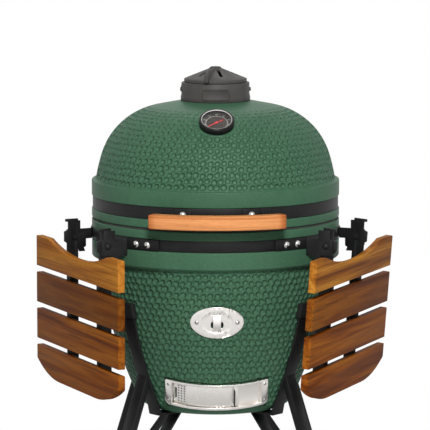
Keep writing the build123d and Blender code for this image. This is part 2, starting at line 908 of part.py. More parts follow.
plate_screw = domed_fastener(plate_screw_radius, plate_screw_height, plate_screw_shank, port_plate)
with BuildPart() as plate_screws:
    screw_offset = 2 * seat_gap + port_plate
    with Locations(*[side_plane(side * port_screw_azimuth, port_height, screw_offset) for side in (-1, 1)]):
        add(plate_screw)
write_piece(plate_screws.part, "plate_screws")

# Sliding air intake: frame with rails, perforated ash screen behind a solid door

back_inside = draft_radius + seat_gap
back_outside = back_inside + draft_sheet
screen_inside = back_outside + slide_gap
screen_outside = screen_inside + draft_sheet
door_inside = screen_outside + slide_gap
door_outside = door_inside + draft_sheet
lip_inside = door_outside + slide_gap
lip_outside = lip_inside + draft_sheet
slide_half_height = draft_half_height - draft_sheet - seat_gap
end_inside = draft_half_angle - draft_end_angle

with BuildPart() as draft_frame:
    add(
        arc_plate(
            draft_plane,
            back_inside,
            lip_outside,
            -draft_half_angle,
            draft_half_angle,
            -draft_half_height,
            draft_half_height,
        )
    )
    slide_room = draft_half_height - draft_sheet
    add(
        arc_plate(draft_plane, back_outside, lip_inside, -end_inside, end_inside, -slide_room, slide_room),
        mode=Mode.SUBTRACT,
    )
    view_room = draft_half_height - draft_rail_depth
    add(
        arc_plate(
            draft_plane, back_outside, lip_outside + slide_gap, -end_inside, end_inside, -view_room, view_room
        ),
        mode=Mode.SUBTRACT,
    )
    add(
        arc_plate(
            draft_plane,
            back_inside - slide_gap,
            lip_outside,
            window_start,
            window_end,
            -window_half_height,
            window_half_height,
        ),
        mode=Mode.SUBTRACT,
    )
    frame_half_width = lip_outside * sin(radians(draft_half_angle))
    front_plane = Plane(origin=draft_plane.origin, x_dir=(1, 0, 0), z_dir=-draft_plane.y_dir)
    with BuildSketch(front_plane) as front_outline:
        Rectangle(2 * frame_half_width, 2 * draft_half_height)
        fillet(front_outline.vertices().group_by(Axis.Y)[0], draft_foot_round)
        fillet(front_outline.vertices().group_by(Axis.Y)[-1], draft_head_round)
    extrude(amount=2 * draft_radius, mode=Mode.INTERSECT)
write_piece(draft_frame.part, "draft_frame")

with BuildPart() as draft_door:
    add(
        arc_plate(
            draft_plane,
            door_inside,
            door_outside,
            door_start,
            door_end,
            -slide_half_height,
            slide_half_height,
        )
    )
    with BuildSketch(turned(draft_plane.offset(-door_tab_half_height), door_tab_azimuth)):
        with Locations((0, -(door_inside + door_outside + door_tab_proud) / 2)):
            Rectangle(draft_sheet, door_tab_proud + draft_sheet)
    extrude(amount=2 * door_tab_half_height)
write_piece(draft_door.part, "draft_door")

with BuildPart() as ash_screen:
    add(
        arc_plate(
            draft_plane,
            screen_inside,
            screen_outside,
            screen_start,
            screen_end,
            -slide_half_height,
            slide_half_height,
        )
    )
    first_row = -screen_row_pitch * (screen_hole_rows - 1) / 2
    hole_planes = []
    for column in range(screen_hole_columns):
        column_plane = turned(draft_plane, screen_hole_start + column * screen_hole_pitch)
        for row in range(screen_hole_rows):
            centre = column_plane.from_local_coords((0, -screen_outside, first_row + row * screen_row_pitch))
            hole_planes.append(Plane(origin=centre, x_dir=column_plane.x_dir, z_dir=-column_plane.y_dir))
    with Locations(*hole_planes):
        Hole(screen_hole_radius, depth=2 * draft_sheet)
    slot_plane = turned(draft_plane, finger_slot_azimuth)
    slot_centre = slot_plane.from_local_coords((0, -screen_outside, 0))
    with BuildSketch(Plane(origin=slot_centre, x_dir=slot_plane.z_dir, z_dir=-slot_plane.y_dir)):
        SlotOverall(finger_slot_tall, finger_slot_width)
    extrude(amount=2 * draft_sheet, both=True, mode=Mode.SUBTRACT)
write_piece(ash_screen.part, "ash_screen")

# Inner ceramics and grates

fire_box_bottom = base_floor + seat_gap
fire_box_top = fire_box_bottom + fire_box_height
waist_height = fire_box_bottom + fire_box_waist_rise
ledge_height = fire_box_bottom + grate_ledge_rise
ledge_outside = fire_box_waist_radius - fire_box_wall + grate_ledge_width / 2
ledge_inside = ledge_outside - grate_ledge_width
grate_radius = ledge_outside - seat_gap
with BuildPart() as fire_box:
    with BuildSketch(Plane.XZ):
        with BuildLine():
            Polyline(
                (0, fire_box_bottom),
                (fire_box_foot_radius, fire_box_bottom),
                (fire_box_waist_radius, waist_height),
                (fire_box_top_radius, fire_box_top),
                (fire_box_top_radius - fire_box_wall, fire_box_top),
                (ledge_outside, ledge_height + 2 * grate_thickness),
                (ledge_outside, ledge_height),
                (ledge_inside, ledge_height),
                (ledge_inside, fire_box_bottom + fire_box_wall),
                (0, fire_box_bottom + fire_box_wall),
                close=True,
            )
        make_face()
    revolve(axis=Axis.Z)
    add(
        arc_plate(
            draft_plane,
            draft_radius - 5 * base_wall,
            draft_radius,
            window_start,
            window_end,
            -window_half_height,
            window_half_height,
        ),
        mode=Mode.SUBTRACT,
    )
write_piece(fire_box.part, "fire_box")

fire_ring_bottom = fire_box_top + seat_gap
with BuildPart() as fire_ring:
    with BuildSketch(Plane.XZ):
        with BuildLine():
            Polyline(
                (fire_box_top_radius, fire_ring_bottom),
                (fire_ring_top_radius, fire_ring_top),
                (fire_ring_top_radius - fire_ring_wall, fire_ring_top),
                (fire_box_top_radius - fire_ring_wall, fire_ring_bottom),
                close=True,
            )
        make_face()
    revolve(axis=Axis.Z)
write_piece(fire_ring.part, "fire_ring")

with BuildPart() as charcoal_grate:
    with BuildSketch(Plane.XY.offset(ledge_height + seat_gap)):
        Circle(grate_radius)
        slot_span = grate_slot_pitch * (grate_slot_count - 1)
        for index in range(grate_slot_count):
            place = index * grate_slot_pitch - slot_span / 2
            reach = 2 * sqrt((grate_radius - grate_ledge_width) ** 2 - place ** 2)
            with Locations((0, place)):
                SlotOverall(reach - grate_slot_width, grate_slot_width, mode=Mode.SUBTRACT)
    extrude(amount=grate_thickness)
write_piece(charcoal_grate.part, "charcoal_grate")

cooking_height = fire_ring_top + seat_gap + cooking_wire
cooking_radius = fire_ring_top_radius - fire_ring_wall / 2
with BuildPart() as cooking_grate:
    with BuildSketch(Plane.XZ):
        with Locations((cooking_radius, cooking_height)):
            Circle(cooking_wire)
    revolve(axis=Axis.Z)
    for index in range(-cooking_bars, cooking_bars + 1):
        place = index * cooking_pitch
        half = sqrt(cooking_radius ** 2 - place ** 2)
        with BuildSketch(Plane.XZ):
            with Locations((place, cooking_height)):
                RegularPolygon(cooking_wire - seat_gap, 8)
        extrude(amount=half, both=True)
    for place in (-cooking_cross, cooking_cross):
        with BuildSketch(Plane.YZ):
            with Locations((place, cooking_height)):
                RegularPolygon(cooking_wire - 2 * seat_gap, 8)
        extrude(amount=sqrt(cooking_radius ** 2 - place ** 2), both=True)
write_piece(cooking_grate.part, "cooking_grate")

# Rear hinge: base bracket, lid arms, pin and two torsion springs

hinge_place = rim_radius + hinge_reach
hinge_height = seam_height + hinge_rise
crossbar_place = hinge_place - crossbar_reach
crossbar_offset = spring_radius + spring_wire + spring_rest_gap + crossbar_radius
for name, ear_place, middle, width, bar_side in (
    ("hinge_base_bracket", base_ear_place, base_band_height, base_band_width, -1),
    ("hinge_lid_arm", lid_ear_place, lid_band_height, lid_band_width, 1),
):
    with BuildPart() as hinge_leaf:
        for side in (-1, 1):
            with BuildSketch(Plane.YZ.offset(side * ear_place)):
                with Locations((rim_radius - band_foot_thickness, middle)):
                    Rectangle(4 * band_foot_thickness, width - 2 * band_foot_margin)
                with Locations((hinge_place, hinge_height)):
                    Circle(knuckle_radius)
                make_hull()
                with Locations((hinge_place, hinge_height)):
                    Circle(hinge_pin_radius + running_gap, mode=Mode.SUBTRACT)
            extrude(amount=ear_thickness / 2, both=True)
        add(trim, mode=Mode.SUBTRACT)
        add(band_foot(180 - hinge_foot_half, 180 + hinge_foot_half, middle, width))
        with BuildSketch(Plane.YZ):
            with Locations((crossbar_place, hinge_height + bar_side * crossbar_offset)):
                Circle(crossbar_radius)
        extrude(amount=ear_place, both=True)
        for side in (-1, 1):
            with Locations(facing_plane(180 + side * hinge_bolt_half, foot_outside, middle)):
                Hole(bolt_hole_radius, depth=2 * band_foot_thickness)
    write_piece(hinge_leaf.part, name)

pin_half = base_ear_place + ear_thickness / 2 + seat_gap
with BuildPart() as hinge_pin:
    with BuildSketch(Plane.YZ.offset(-pin_half)):
        with Locations((hinge_place, hinge_height)):
            Circle(hinge_pin_radius)
    extrude(amount=2 * pin_half)
    for start, length in ((pin_half, hinge_pin_head_length), (-pin_half, -hinge_pin_head_length)):
        with BuildSketch(Plane.YZ.offset(start)):
            with Locations((hinge_place, hinge_height)):
                Circle(hinge_pin_head)
        extrude(amount=length)
write_piece(hinge_pin.part, "hinge_pin")


def coil_point(turn):
    """Point of the spring's centre line after this many turns from its top."""
    angle = 2 * pi * turn
    along = spring_start + spring_pitch * turn
    return Vector(along, hinge_place + spring_radius * sin(angle), hinge_height + spring_radius * cos(angle))


def coil_direction(turn):
    """Unit tangent of the spring's centre line."""
    angle = 2 * pi * turn
    rise = spring_pitch / (2 * pi)
    return Vector(rise, spring_radius * cos(angle), -spring_radius * sin(angle)).normalized()


def biarc_joint(start, start_direction, end, end_direction):
    """Point where two equal tangent arcs between two points meet, and their direction there."""
    span = end - start
    directions = start_direction + end_direction
    quadratic = 2 * (1 - start_direction.dot(end_direction))
    linear = 2 * span.dot(directions)
    reach = (sqrt(linear ** 2 + 4 * quadratic * span.dot(span)) - linear) / (2 * quadratic)
    before = start + start_direction * reach
    after = end - end_direction * reach
    return (before + after) * 0.5, (after - before).normalized()


coil_turns = spring_turns + 0.5
coil_steps = int(4 * coil_turns)
coil_start = coil_point(0) - coil_direction(0) * spring_leg
coil_end = coil_point(coil_turns) + coil_direction(coil_turns) * spring_leg
with BuildPart() as hinge_springs:
    with BuildLine() as coil:
        Line(coil_start, coil_point(0))
        for step in range(coil_steps):
            here = coil_turns * step / coil_steps
            there = coil_turns * (step + 1) / coil_steps
            joint, along = biarc_joint(
                coil_point(here), coil_direction(here), coil_point(there), coil_direction(there)
            )
            TangentArc(coil_point(here), joint, tangent=coil_direction(here))
            TangentArc(joint, coil_point(there), tangent=along)
        Line(coil_point(coil_turns), coil_end)
    with BuildSketch(Plane(origin=coil_start, z_dir=coil_direction(0))):
        Circle(spring_wire)
    sweep(path=coil.wires()[0])
    mirror(about=Plane.YZ)
write_piece(hinge_springs.part, "hinge_springs")

# Least gap between the wire and itself, measured on points along the centre line
samples = [coil_start + (coil_point(0) - coil_start) * (i / 20) for i in range(20)]
samples += [coil_point(coil_turns * i / 440) for i in range(441)]
samples += [coil_point(coil_turns) + (coil_end - coil_point(coil_turns)) * (i / 20) for i in range(1, 21)]
run = [0.0]
for before, after in zip(samples, samples[1:]):
    run.append(run[-1] + (after - before).length)
least = min(
    (samples[i] - samples[j]).length - 2 * spring_wire
    for i in range(len(samples))
    for j in range(i)
    if run[i] - run[j] > pi * spring_radius
)
print(f"hinge spring: least gap to itself {least:.2f} mm")

# Shelf brackets on the base band, and the bolts that the shelves turn on

pivot_radius_out = rim_radius + shelf_reach
arm_outside = arm_place + arm_plate / 2
bracket_inside = arm_outside + bracket_gap
bracket_outside = bracket_inside + bracket_plate
pivot_height = base_band_height - shelf_pivot_drop
foot_middle = (foot_inside + foot_outside) / 2
foot_end = shelf_azimuth - degrees(asin((bracket_inside + bracket_outside) / 2 / foot_middle))
for name, side, end in (
    ("bracket_left_front", -1, -1),
    ("bracket_left_rear", -1, 1),
    ("bracket_right_front", 1, 1),
    ("bracket_right_rear", 1, -1),
):
    front = end == side
    beside_body = bracket_belly if front else bracket_notch
    bracket_plane = radial_plane(side * shelf_azimuth, pivot_radius_out, pivot_height)
    with BuildPart() as bracket:
        with BuildSketch(bracket_plane.offset(end * bracket_inside)):
            with BuildLine():
                Polyline(
                    (bracket_nose, bracket_shoulder),
                    (horn_outside, bracket_shoulder),
                    (horn_outside, horn_top),
                    (horn_inside, horn_top),
                    (horn_inside, bracket_shoulder),
                    (-2 * shelf_reach, bracket_shoulder),
                    (-2 * shelf_reach, -beside_body),
                    (bracket_step, -beside_body),
                    (bracket_step, -bracket_belly - hook_throat),
                    (hook_inside + hook_throat, -bracket_belly - 2 * hook_throat),
                    (hook_inside, -hook_drop),
                    (hook_outside - hook_throat, -hook_drop),
                    (hook_outside, -bracket_belly),
                    (bracket_nose, -bracket_belly),
                    close=True,
                )
            make_face()
            Circle(pivot_radius + running_gap, mode=Mode.SUBTRACT)
        extrude(amount=end * bracket_plate)
        add(trim, mode=Mode.SUBTRACT)
        near = foot_end - bracket_foot_turn if front else 2 * shelf_azimuth - foot_end
        far = near + bracket_foot_turn
        foot_low = min(side * near, side * far)
        foot_high = max(side * near, side * far)
        add(band_foot(foot_low, foot_high, base_band_height, base_band_width))
        for turn in (bracket_bolt_one, bracket_bolt_two):
            place = foot_end - turn if front else 2 * shelf_azimuth - foot_end + turn
            with Locations(facing_plane(side * place, foot_outside, base_band_height)):
                Hole(bolt_hole_radius, depth=2 * band_foot_thickness)
    write_piece(bracket.part, name)

bolt_azimuths = [180 - hinge_bolt_half, 180 + hinge_bolt_half]
for side in (-1, 1):
    for turn in (bracket_bolt_one, bracket_bolt_two):
        azimuth = foot_end - turn
        bolt_azimuths += [side * azimuth, side * (2 * shelf_azimuth - azimuth)]
with BuildPart() as band_bolts:
    with Locations(*[facing_plane(azimuth, foot_outside, base_band_height) for azimuth in bolt_azimuths]):
        add(band_bolt)
write_piece(band_bolts.part, "band_bolts")

pivot_length = bracket_outside - arm_place + arm_plate / 2 + pivot_nut_height + 2 * seat_gap
pivot_bolt = domed_fastener(pivot_head, pivot_head_height, pivot_radius, pivot_length)
with BuildPart() as shelf_pivot_bolts:
    for side in (-1, 1):
        for end in (-1, 1):
            plane = radial_plane(side * shelf_azimuth, pivot_radius_out, pivot_height)
            out = plane.z_dir * end
            head_place = plane.origin + out * (bracket_outside + seat_gap)
            head = Plane(origin=head_place, x_dir=plane.x_dir, z_dir=out)
            with Locations(head):
                add(pivot_bolt)
            with BuildSketch(head.offset(-pivot_length)):
                RegularPolygon(pivot_head, 6)
            extrude(amount=pivot_nut_height)
write_piece(shelf_pivot_bolts.part, "shelf_pivot_bolts")

# Folding shelves: two steel angles and four slats each

slat_pitch = slat_width + slat_gap
last_slat_bottom = -slat_drop - slat_pitch * (slat_count - 1) - slat_width
for body, side, hang in (("left", -1, left_hang), ("right", 1, right_hang)):
    upright = radial_plane(side * shelf_azimuth, pivot_radius_out, pivot_height)
    shelf_plane = turned(upright, hang)
    for end in (-1, 1):
        name = f"{body}_arm_front" if end == side else f"{body}_arm_rear"
        with BuildPart() as arm:
            with BuildSketch(shelf_plane.offset(end * (arm_place - arm_plate / 2))):
                with BuildLine():
                    Polyline(
                        (arm_back, last_slat_bottom + arm_end),
                        (slat_face, last_slat_bottom + arm_end),
                        (slat_face, -arm_bulge_low - arm_bulge_slope),
                        (arm_bulge, -arm_bulge_low),
                        (arm_bulge, arm_bulge_high - arm_bulge_slope),
                        (arm_neck, arm_bulge_high),
                        (arm_neck, arm_tongue - arm_beak),
                        (arm_neck + arm_beak, arm_tongue - arm_beak),
                        (arm_neck + arm_beak, arm_tongue),
                        (arm_back, arm_tongue),
                        close=True,
                    )
                make_face()
                Circle(pivot_radius + running_gap, mode=Mode.SUBTRACT)
            extrude(amount=end * arm_plate)
            flange_plane = shelf_plane.offset(end * (arm_place + arm_plate / 2))
            with BuildSketch(flange_plane):
                with BuildLine():
                    Polyline(
                        (slat_face - arm_plate, last_slat_bottom + arm_end),
                        (slat_face, last_slat_bottom + arm_end),
                        (slat_face, -slat_drop - slat_hollow),
                        (slat_face - arm_plate, -slat_drop - slat_hollow),
                        close=True,
                    )
                make_face()
            extrude(amount=-end * arm_flange)
        write_piece(arm.part, name)
    slat_plane = Plane(
        origin=shelf_plane.from_local_coords((slat_face + seat_gap, 0, 0)),
        x_dir=-shelf_plane.z_dir,
        z_dir=shelf_plane.x_dir,
    )
    half = slat_length / 2
    for index in range(slat_count):
        top = -slat_drop - index * slat_pitch
        bottom = top - slat_width
        with BuildPart() as slat:
            with BuildSketch(slat_plane):
                with BuildLine():
                    if index == 0:
                        hollow_half = half - slat_flat
                        Line((-half, top), (-hollow_half, top))
                        ThreePointArc((-hollow_half, top), (0, top - slat_hollow), (hollow_half, top))
                        Line((hollow_half, top), (half, top))
                    else:
                        Line((-half, top), (half, top))
                    if index == slat_count - 1:
                        straight = half - slat_corner_length
                        corner = bottom + slat_corner_rise
                        Line((half, top), (half, corner))
                        TangentArc((straight, bottom), (half, corner), tangent=(1, 0))
                        Line((straight, bottom), (-straight, bottom))
                        TangentArc((-straight, bottom), (-half, corner), tangent=(-1, 0))
                        Line((-half, corner), (-half, top))
                    else:
                        Polyline((half, top), (half, bottom), (-half, bottom), (-half, top))
                make_face()
            extrude(amount=slat_thickness)
            front_face = slat.faces().sort_by(Axis(slat_plane.origin, slat_plane.z_dir))[-1]
            chamfer(front_face.edges(), slat_edge)
        write_piece(slat.part, f"{body}_slat_{index + 1}")

# Stand: four straps with end caps, hub, splayed legs, braces and feet

strap_inside = strap_cap_wall + 2 * seat_gap
strap_outside = strap_inside + strap_thickness
ledge_top = base_bottom - seat_gap
ledge_bottom = ledge_top - strap_thickness
hub_top = ledge_bottom - seat_gap
leg_names = (("front_left", -1, 0), ("front_right", 1, 0), ("rear_left", -1, 1), ("rear_right", 1, 1))
leg_azimuths = {name: side * (180 - leg_azimuth if rear else leg_azimuth) for name, side, rear in leg_names}

for name, azimuth in leg_azimuths.items():
    with BuildPart() as strap:
        with BuildSketch(radial_plane(azimuth)):
            with BuildLine():
                inner_side = ThreePointArc(*side_points(corner_height, strap_top, strap_inside))
                outer_side = ThreePointArc(*side_points(corner_height, strap_top, strap_outside))
                Line(inner_side @ 1, outer_side @ 1)
                Polyline(
                    inner_side @ 0,
                    ((inner_side @ 0).X - strap_thickness, ledge_top),
                    (ledge_reach, ledge_top),
                    (ledge_reach, ledge_bottom),
                    ((outer_side @ 0).X - strap_thickness, ledge_bottom),
                    outer_side @ 0,
                )
            make_face()
        extrude(amount=strap_width / 2, both=True)
    write_piece(strap.part, f"strap_{name}")

cap_inside_face = seat_gap
cap_outside_face = strap_outside + seat_gap + strap_cap_wall
cap_low = strap_top + strap_cap_top - strap_cap_height
cap_high = strap_top + strap_cap_top
with BuildPart() as strap_caps:
    for azimuth in leg_azimuths.values():
        with BuildSketch(radial_plane(azimuth)):
            with BuildLine():
                inner_side = ThreePointArc(*side_points(cap_low, cap_high, cap_inside_face))
                outer_side = ThreePointArc(*side_points(cap_low, cap_high, cap_outside_face))
                Line(inner_side @ 0, outer_side @ 0)
                Line(inner_side @ 1, outer_side @ 1)
            make_face()
        extrude(amount=strap_width / 2 + seat_gap + strap_cap_wall, both=True)
        with BuildSketch(radial_plane(azimuth)):
            with BuildLine():
                slot_low = cap_low - strap_cap_wall
                slot_high = strap_top + seat_gap
                inner_side = ThreePointArc(*side_points(slot_low, slot_high, strap_inside - seat_gap))
                outer_side = ThreePointArc(*side_points(slot_low, slot_high, strap_outside + seat_gap))
                Line(inner_side @ 0, outer_side @ 0)
                Line(inner_side @ 1, outer_side @ 1)
            make_face()
        extrude(amount=strap_width / 2 + seat_gap, both=True, mode=Mode.SUBTRACT)
write_piece(strap_caps.part, "strap_caps")

with BuildPart() as stand_hub:
    with BuildSketch(Plane.XY.offset(hub_top - hub_thickness)):
        Circle(hub_radius)
    extrude(amount=hub_thickness)
write_piece(stand_hub.part, "stand_hub")

leg_top_radius = side_radius(leg_top, strap_outside)
leg_foot_radius = leg_top_radius + leg_top * tan(radians(leg_splay))
splay_out = sin(radians(leg_splay))
splay_down = cos(radians(leg_splay))


def leg_plane(azimuth, height):
    """Plane square to a leg at a height on its middle line: x along the tangent, z down the leg."""
    out = outward(azimuth)
    radius = leg_foot_radius - height * tan(radians(leg_splay))
    return Plane(
        origin=out * radius + Vector(0, 0, height),
        x_dir=Vector(0, 0, 1).cross(out),
        z_dir=out * splay_out - Vector(0, 0, splay_down),
    )


def leg_face(azimuth, distance):
    """Plane along a leg's inner side, this far from its middle line, that faces the axis."""
    out = outward(azimuth)
    facing = -(out * splay_down + Vector(0, 0, splay_out))
    origin = out * leg_foot_radius + facing * distance
    return Plane(origin=origin, x_dir=Vector(0, 0, 1).cross(out), z_dir=facing)


leg_overrun = 2 * leg_depth
for name, azimuth in leg_azimuths.items():
    with BuildPart() as leg:
        with BuildSketch(leg_plane(azimuth, leg_top + leg_overrun)):
            Rectangle(leg_width, leg_depth)
            Rectangle(leg_width - 2 * leg_wall, leg_depth - 2 * leg_wall, mode=Mode.SUBTRACT)
        extrude(amount=(leg_top + 2 * leg_overrun) / splay_down)
        split(bisect_by=Plane.XY.offset(foot_height + seat_gap), keep=Keep.TOP)
        split(bisect_by=side_plane(azimuth, leg_top, strap_outside + seat_gap), keep=Keep.TOP)
    write_piece(leg.part, f"leg_{name}")

brace_gap = leg_depth / 2 + seat_gap
brace_meet_radius = leg_foot_radius - brace_meet * tan(radians(leg_splay)) - brace_gap / splay_down
brace_run = hypot(brace_meet_radius - brace_top_radius, hub_top - brace_meet)


def brace_bar(azimuth):
    """Flat bar from under a strap's ledge down to the inner side of its leg."""
    out = outward(azimuth)
    start = out * brace_top_radius + Vector(0, 0, hub_top)
    end = out * brace_meet_radius + Vector(0, 0, brace_meet)
    along = (end - start).normalized()
    with BuildPart() as brace:
        above = start - along * brace_width
        with BuildSketch(Plane(origin=above, x_dir=Vector(0, 0, 1).cross(out), z_dir=along)):
            Rectangle(brace_width, brace_thickness)
        extrude(amount=brace_run + 2 * brace_width)
        split(bisect_by=Plane.XY.offset(hub_top), keep=Keep.BOTTOM)
        split(bisect_by=leg_face(azimuth, brace_gap), keep=Keep.TOP)
    return brace.part


with BuildPart() as stand_braces:
    for azimuth in leg_azimuths.values():
        add(brace_bar(azimuth))
write_piece(stand_braces.part, "stand_braces")

plug_start = foot_height / 2
with BuildPart() as leg_feet:
    for azimuth in leg_azimuths.values():
        sole = leg_plane(azimuth, plug_start).origin
        along_sole = Vector(0, 0, 1).cross(outward(azimuth))
        sole_plane = Plane(origin=(sole.X, sole.Y, 0), x_dir=along_sole, z_dir=(0, 0, 1))
        with BuildSketch(sole_plane):
            RectangleRounded(foot_length, foot_width, foot_round)
        extrude(amount=foot_height)
        with BuildSketch(leg_plane(azimuth, plug_start)):
            Rectangle(leg_width - 2 * leg_wall - 2 * seat_gap, leg_depth - 2 * leg_wall - 2 * seat_gap)
        extrude(amount=-foot_plug)
write_piece(leg_feet.part, "leg_feet")
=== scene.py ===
import json
import math
import random

import bmesh
import bpy
import numpy as np
from mathutils import Matrix, Vector

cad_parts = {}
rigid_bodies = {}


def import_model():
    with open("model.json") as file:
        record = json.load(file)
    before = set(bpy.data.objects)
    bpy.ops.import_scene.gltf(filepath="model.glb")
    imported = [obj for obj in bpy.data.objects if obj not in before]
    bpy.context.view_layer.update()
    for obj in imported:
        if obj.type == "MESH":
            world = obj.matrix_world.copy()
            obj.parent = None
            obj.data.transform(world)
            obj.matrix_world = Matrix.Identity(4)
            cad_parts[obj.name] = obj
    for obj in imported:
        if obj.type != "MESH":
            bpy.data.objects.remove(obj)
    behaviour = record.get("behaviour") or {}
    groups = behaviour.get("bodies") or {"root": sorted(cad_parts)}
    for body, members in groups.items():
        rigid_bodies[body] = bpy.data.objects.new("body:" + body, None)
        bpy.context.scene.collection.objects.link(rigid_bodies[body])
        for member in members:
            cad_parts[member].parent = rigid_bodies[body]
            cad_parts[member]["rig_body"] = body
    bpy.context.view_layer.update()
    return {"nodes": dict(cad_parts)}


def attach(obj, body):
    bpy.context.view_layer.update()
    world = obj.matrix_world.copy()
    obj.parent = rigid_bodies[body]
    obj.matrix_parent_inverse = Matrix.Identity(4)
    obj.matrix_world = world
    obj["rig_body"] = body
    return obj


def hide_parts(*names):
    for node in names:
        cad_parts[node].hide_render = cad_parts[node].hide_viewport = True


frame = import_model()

# Sizes of the grill in metres. The front faces -Y and the axis of the body is the Z axis.
rim_radius = 0.265
rim_inside = 0.235
groove_radius = 0.260
rim_top = 0.8355
lid_lip = 0.8405
base_groove = (0.7928, 0.8172)
lid_groove = (0.8584, 0.8856)
rim_softness = 0.0022

base_bottom = 0.430
base_floor_radius = 0.132
base_floor = 0.458
base_wall = 0.026
corner = (0.167, 0.447)
shoulder = (0.252, 0.751)
flange_foot = (rim_radius, 0.757)
side_bulge = 0.013

lid_wall = 0.026
lid_flange_top = 0.919
dome_foot = (0.2566, lid_flange_top)
dome_foot_length = 0.011
dome_lean = math.radians(11.0)
flank_lean = math.radians(17.0)
crown_lean = math.radians(79.0)
flank_radius = 0.420
crown_radius = 0.150
flue_radius = 0.055
flue_seat_radius = 0.075

# Starter port behind its plate
port_height = 0.643
port_radius = 0.0165
port_depth = 0.018

# Cast dimples of the glazed ceramic
dimple_radius = 0.0066
dimple_depth = 0.0016
dimple_wall = 3.0
dimple_pitch = 0.0146
dimple_row = 0.0130
dimple_stray = 0.0018
dimple_sizes = (0.86, 1.10)
first_row = 0.45
row_stray = 0.1
base_fade = (0.010, 0.006)
lid_fade = (0.002, 0.080)

# How closely the points of the ceramic shells lie
shell_columns = 600
shell_sectors = 8
shell_row = 0.0027
fine_row = 0.006
inner_row = 0.024
foot_steps = 4

# Thermometer, and its seat in the lid
gauge_lean = math.radians(57.5)
gauge_seat_depth = 0.0045
gauge_seat = crown_radius - gauge_seat_depth
gauge_radius = 0.037
gauge_seat_play = 0.0012
gauge_seat_softness = 0.0045
dial_radius = 0.0337
scale_heights = (0.00412, 0.00424)

# Air intake: curved about a tilted axis, in a seat sunk into the base
draft_tilt = math.radians(17.5)
draft_height = 0.478
draft_recess = 0.006
draft_seat = 0.181
draft_half_angle = math.radians(34.4)
draft_half_height = 0.0295
draft_face = 0.1927
door_face = 0.1893
window_angles = (math.radians(-28.5), math.radians(-1.0))
window_half_height = 0.020
window_room = 0.060
draft_play_angle = math.radians(1.0)
draft_play = 0.0010
draft_soft_angle = math.radians(1.4)
draft_softness = 0.0026
draft_clearance = 0.0002

# Folding shelves
shelf_azimuth = math.radians(65.9)
shelf_pivot = (0.291, 0.799)
shelf_hang = {"left": 0.0, "right": math.radians(-4.5)}
slat_face = 0.0173
slat_length = 0.450
slat_width = 0.066
slat_thickness = 0.016
slat_pitch = 0.0796
slat_drop = 0.012
slat_count = 4
slat_edge = 0.0018
slat_hollow = 0.025
slat_flat = 0.062
slat_corner_length = 0.125
slat_corner_rise = 0.036
slat_arc_step = 0.008
slat_grain_stray = 9.0
slat_shades = {"left": (0.94, 0.37, 0.57, 0.58), "right": (1.00, 0.48, 0.62, 0.63)}
shelf_side = {"left": -1, "right": 1}

# Lid handle
handle_radius = 0.298
handle_height = 0.860
handle_depth = 0.026
handle_tall = 0.030
handle_half_angle = math.radians(27.4)
handle_edge = 0.0042
handle_end_edge = 0.0025
handle_steps = 72
# Painted shade on the handle's ends: how far round it reaches, and how dark it makes each end
handle_shade_reach = math.radians(4.0)
handle_left_painted_shade = 0.28
handle_right_painted_shade = 0.45

# Points closer than these are one point, in new shapes and in copies of nodes
same_point = 1e-6
same_node_point = 2e-6

upright = {"cent": (0.0, 0.0, 0.0), "axis": (0.0, 0.0, 1.0)}


class Finish:
    """A node material: one shader, and helpers that add the textures it needs."""

    def __init__(self, name, **shader):
        self.name = name
        self.material = bpy.data.materials.new(name)
        self.material.use_nodes = True
        self.nodes = self.material.node_tree.nodes
        self.links = self.material.node_tree.links
        self.shader = self.nodes["Principled BSDF"]
        self.normal = None
        for socket, value in shader.items():
            self.shader.inputs[socket.replace("_", " ")].default_value = value

    def add(self, kind, inputs=None, **settings):
        """Add one node, with plain values or links on its inputs."""
        node = self.nodes.new(kind)
        for key, value in settings.items():
            setattr(node, key, value)
        for key, value in (inputs or {}).items():
            if isinstance(value, bpy.types.NodeSocket):
                self.links.new(value, node.inputs[key])
            else:
                node.inputs[key].default_value = value
        return node

    def place(self, scale=(1.0, 1.0, 1.0), attribute=None):
        """The piece's own coordinates, or one of its attributes, stretched by a scale."""
        if attribute:
            source = self.add("ShaderNodeAttribute", attribute_name=attribute).outputs["Vector"]
        else:
            source = self.add("ShaderNodeTexCoord").outputs["Object"]
        return self.add("ShaderNodeMapping", {"Vector": source, "Scale": scale}).outputs["Vector"]

    def noise(self, place, scale, detail=4.0, roughness=0.5, distortion=0.0):
        inputs = {
            "Vector": place,
            "Scale": scale,
            "Detail": detail,
            "Roughness": roughness,
            "Distortion": distortion,
        }
        return self.add("ShaderNodeTexNoise", inputs).outputs[0]

    def ramp(self, factor, *stops):
        """Colour ramp through (position, colour) stops."""
        node = self.add("ShaderNodeValToRGB", {0: factor})
        elements = node.color_ramp.elements
        while len(elements) < len(stops):
            elements.new(0.5)
        for element, (position, colour) in zip(elements, stops):
            element.position = position
            element.color = colour if len(colour) == 4 else (*colour, 1.0)
        return node.outputs["Color"]

    def level(self, factor, low, high, start=0.0, end=1.0):
        """A number that runs from low to high as the factor runs from start to end."""
        inputs = {"Value": factor, "From Min": start, "From Max": end, "To Min": low, "To Max": high}
        return self.add("ShaderNodeMapRange", inputs).outputs["Result"]

    def mix(self, factor, first, second, blend="MIX"):
        node = self.add("ShaderNodeMix", {0: factor, 6: first, 7: second}, data_type="RGBA", blend_type=blend)
        return node.outputs[2]

    def value(self, attribute):
        return self.add("ShaderNodeAttribute", attribute_name=attribute).outputs["Fac"]

    def bump(self, height, strength, distance):
        """Roughen the surface; later bumps lie on earlier ones."""
        inputs = {"Height": height, "Strength": strength, "Distance": distance}
        if self.normal:
            inputs["Normal"] = self.normal
        self.normal = self.add("ShaderNodeBump", inputs).outputs["Normal"]
        self.links.new(self.normal, self.shader.inputs["Normal"])

    def paint(self, **sockets):
        """Link textures to the shader's own sockets."""
        for socket, output in sockets.items():
            self.links.new(output, self.shader.inputs[socket.replace("_", " ")])


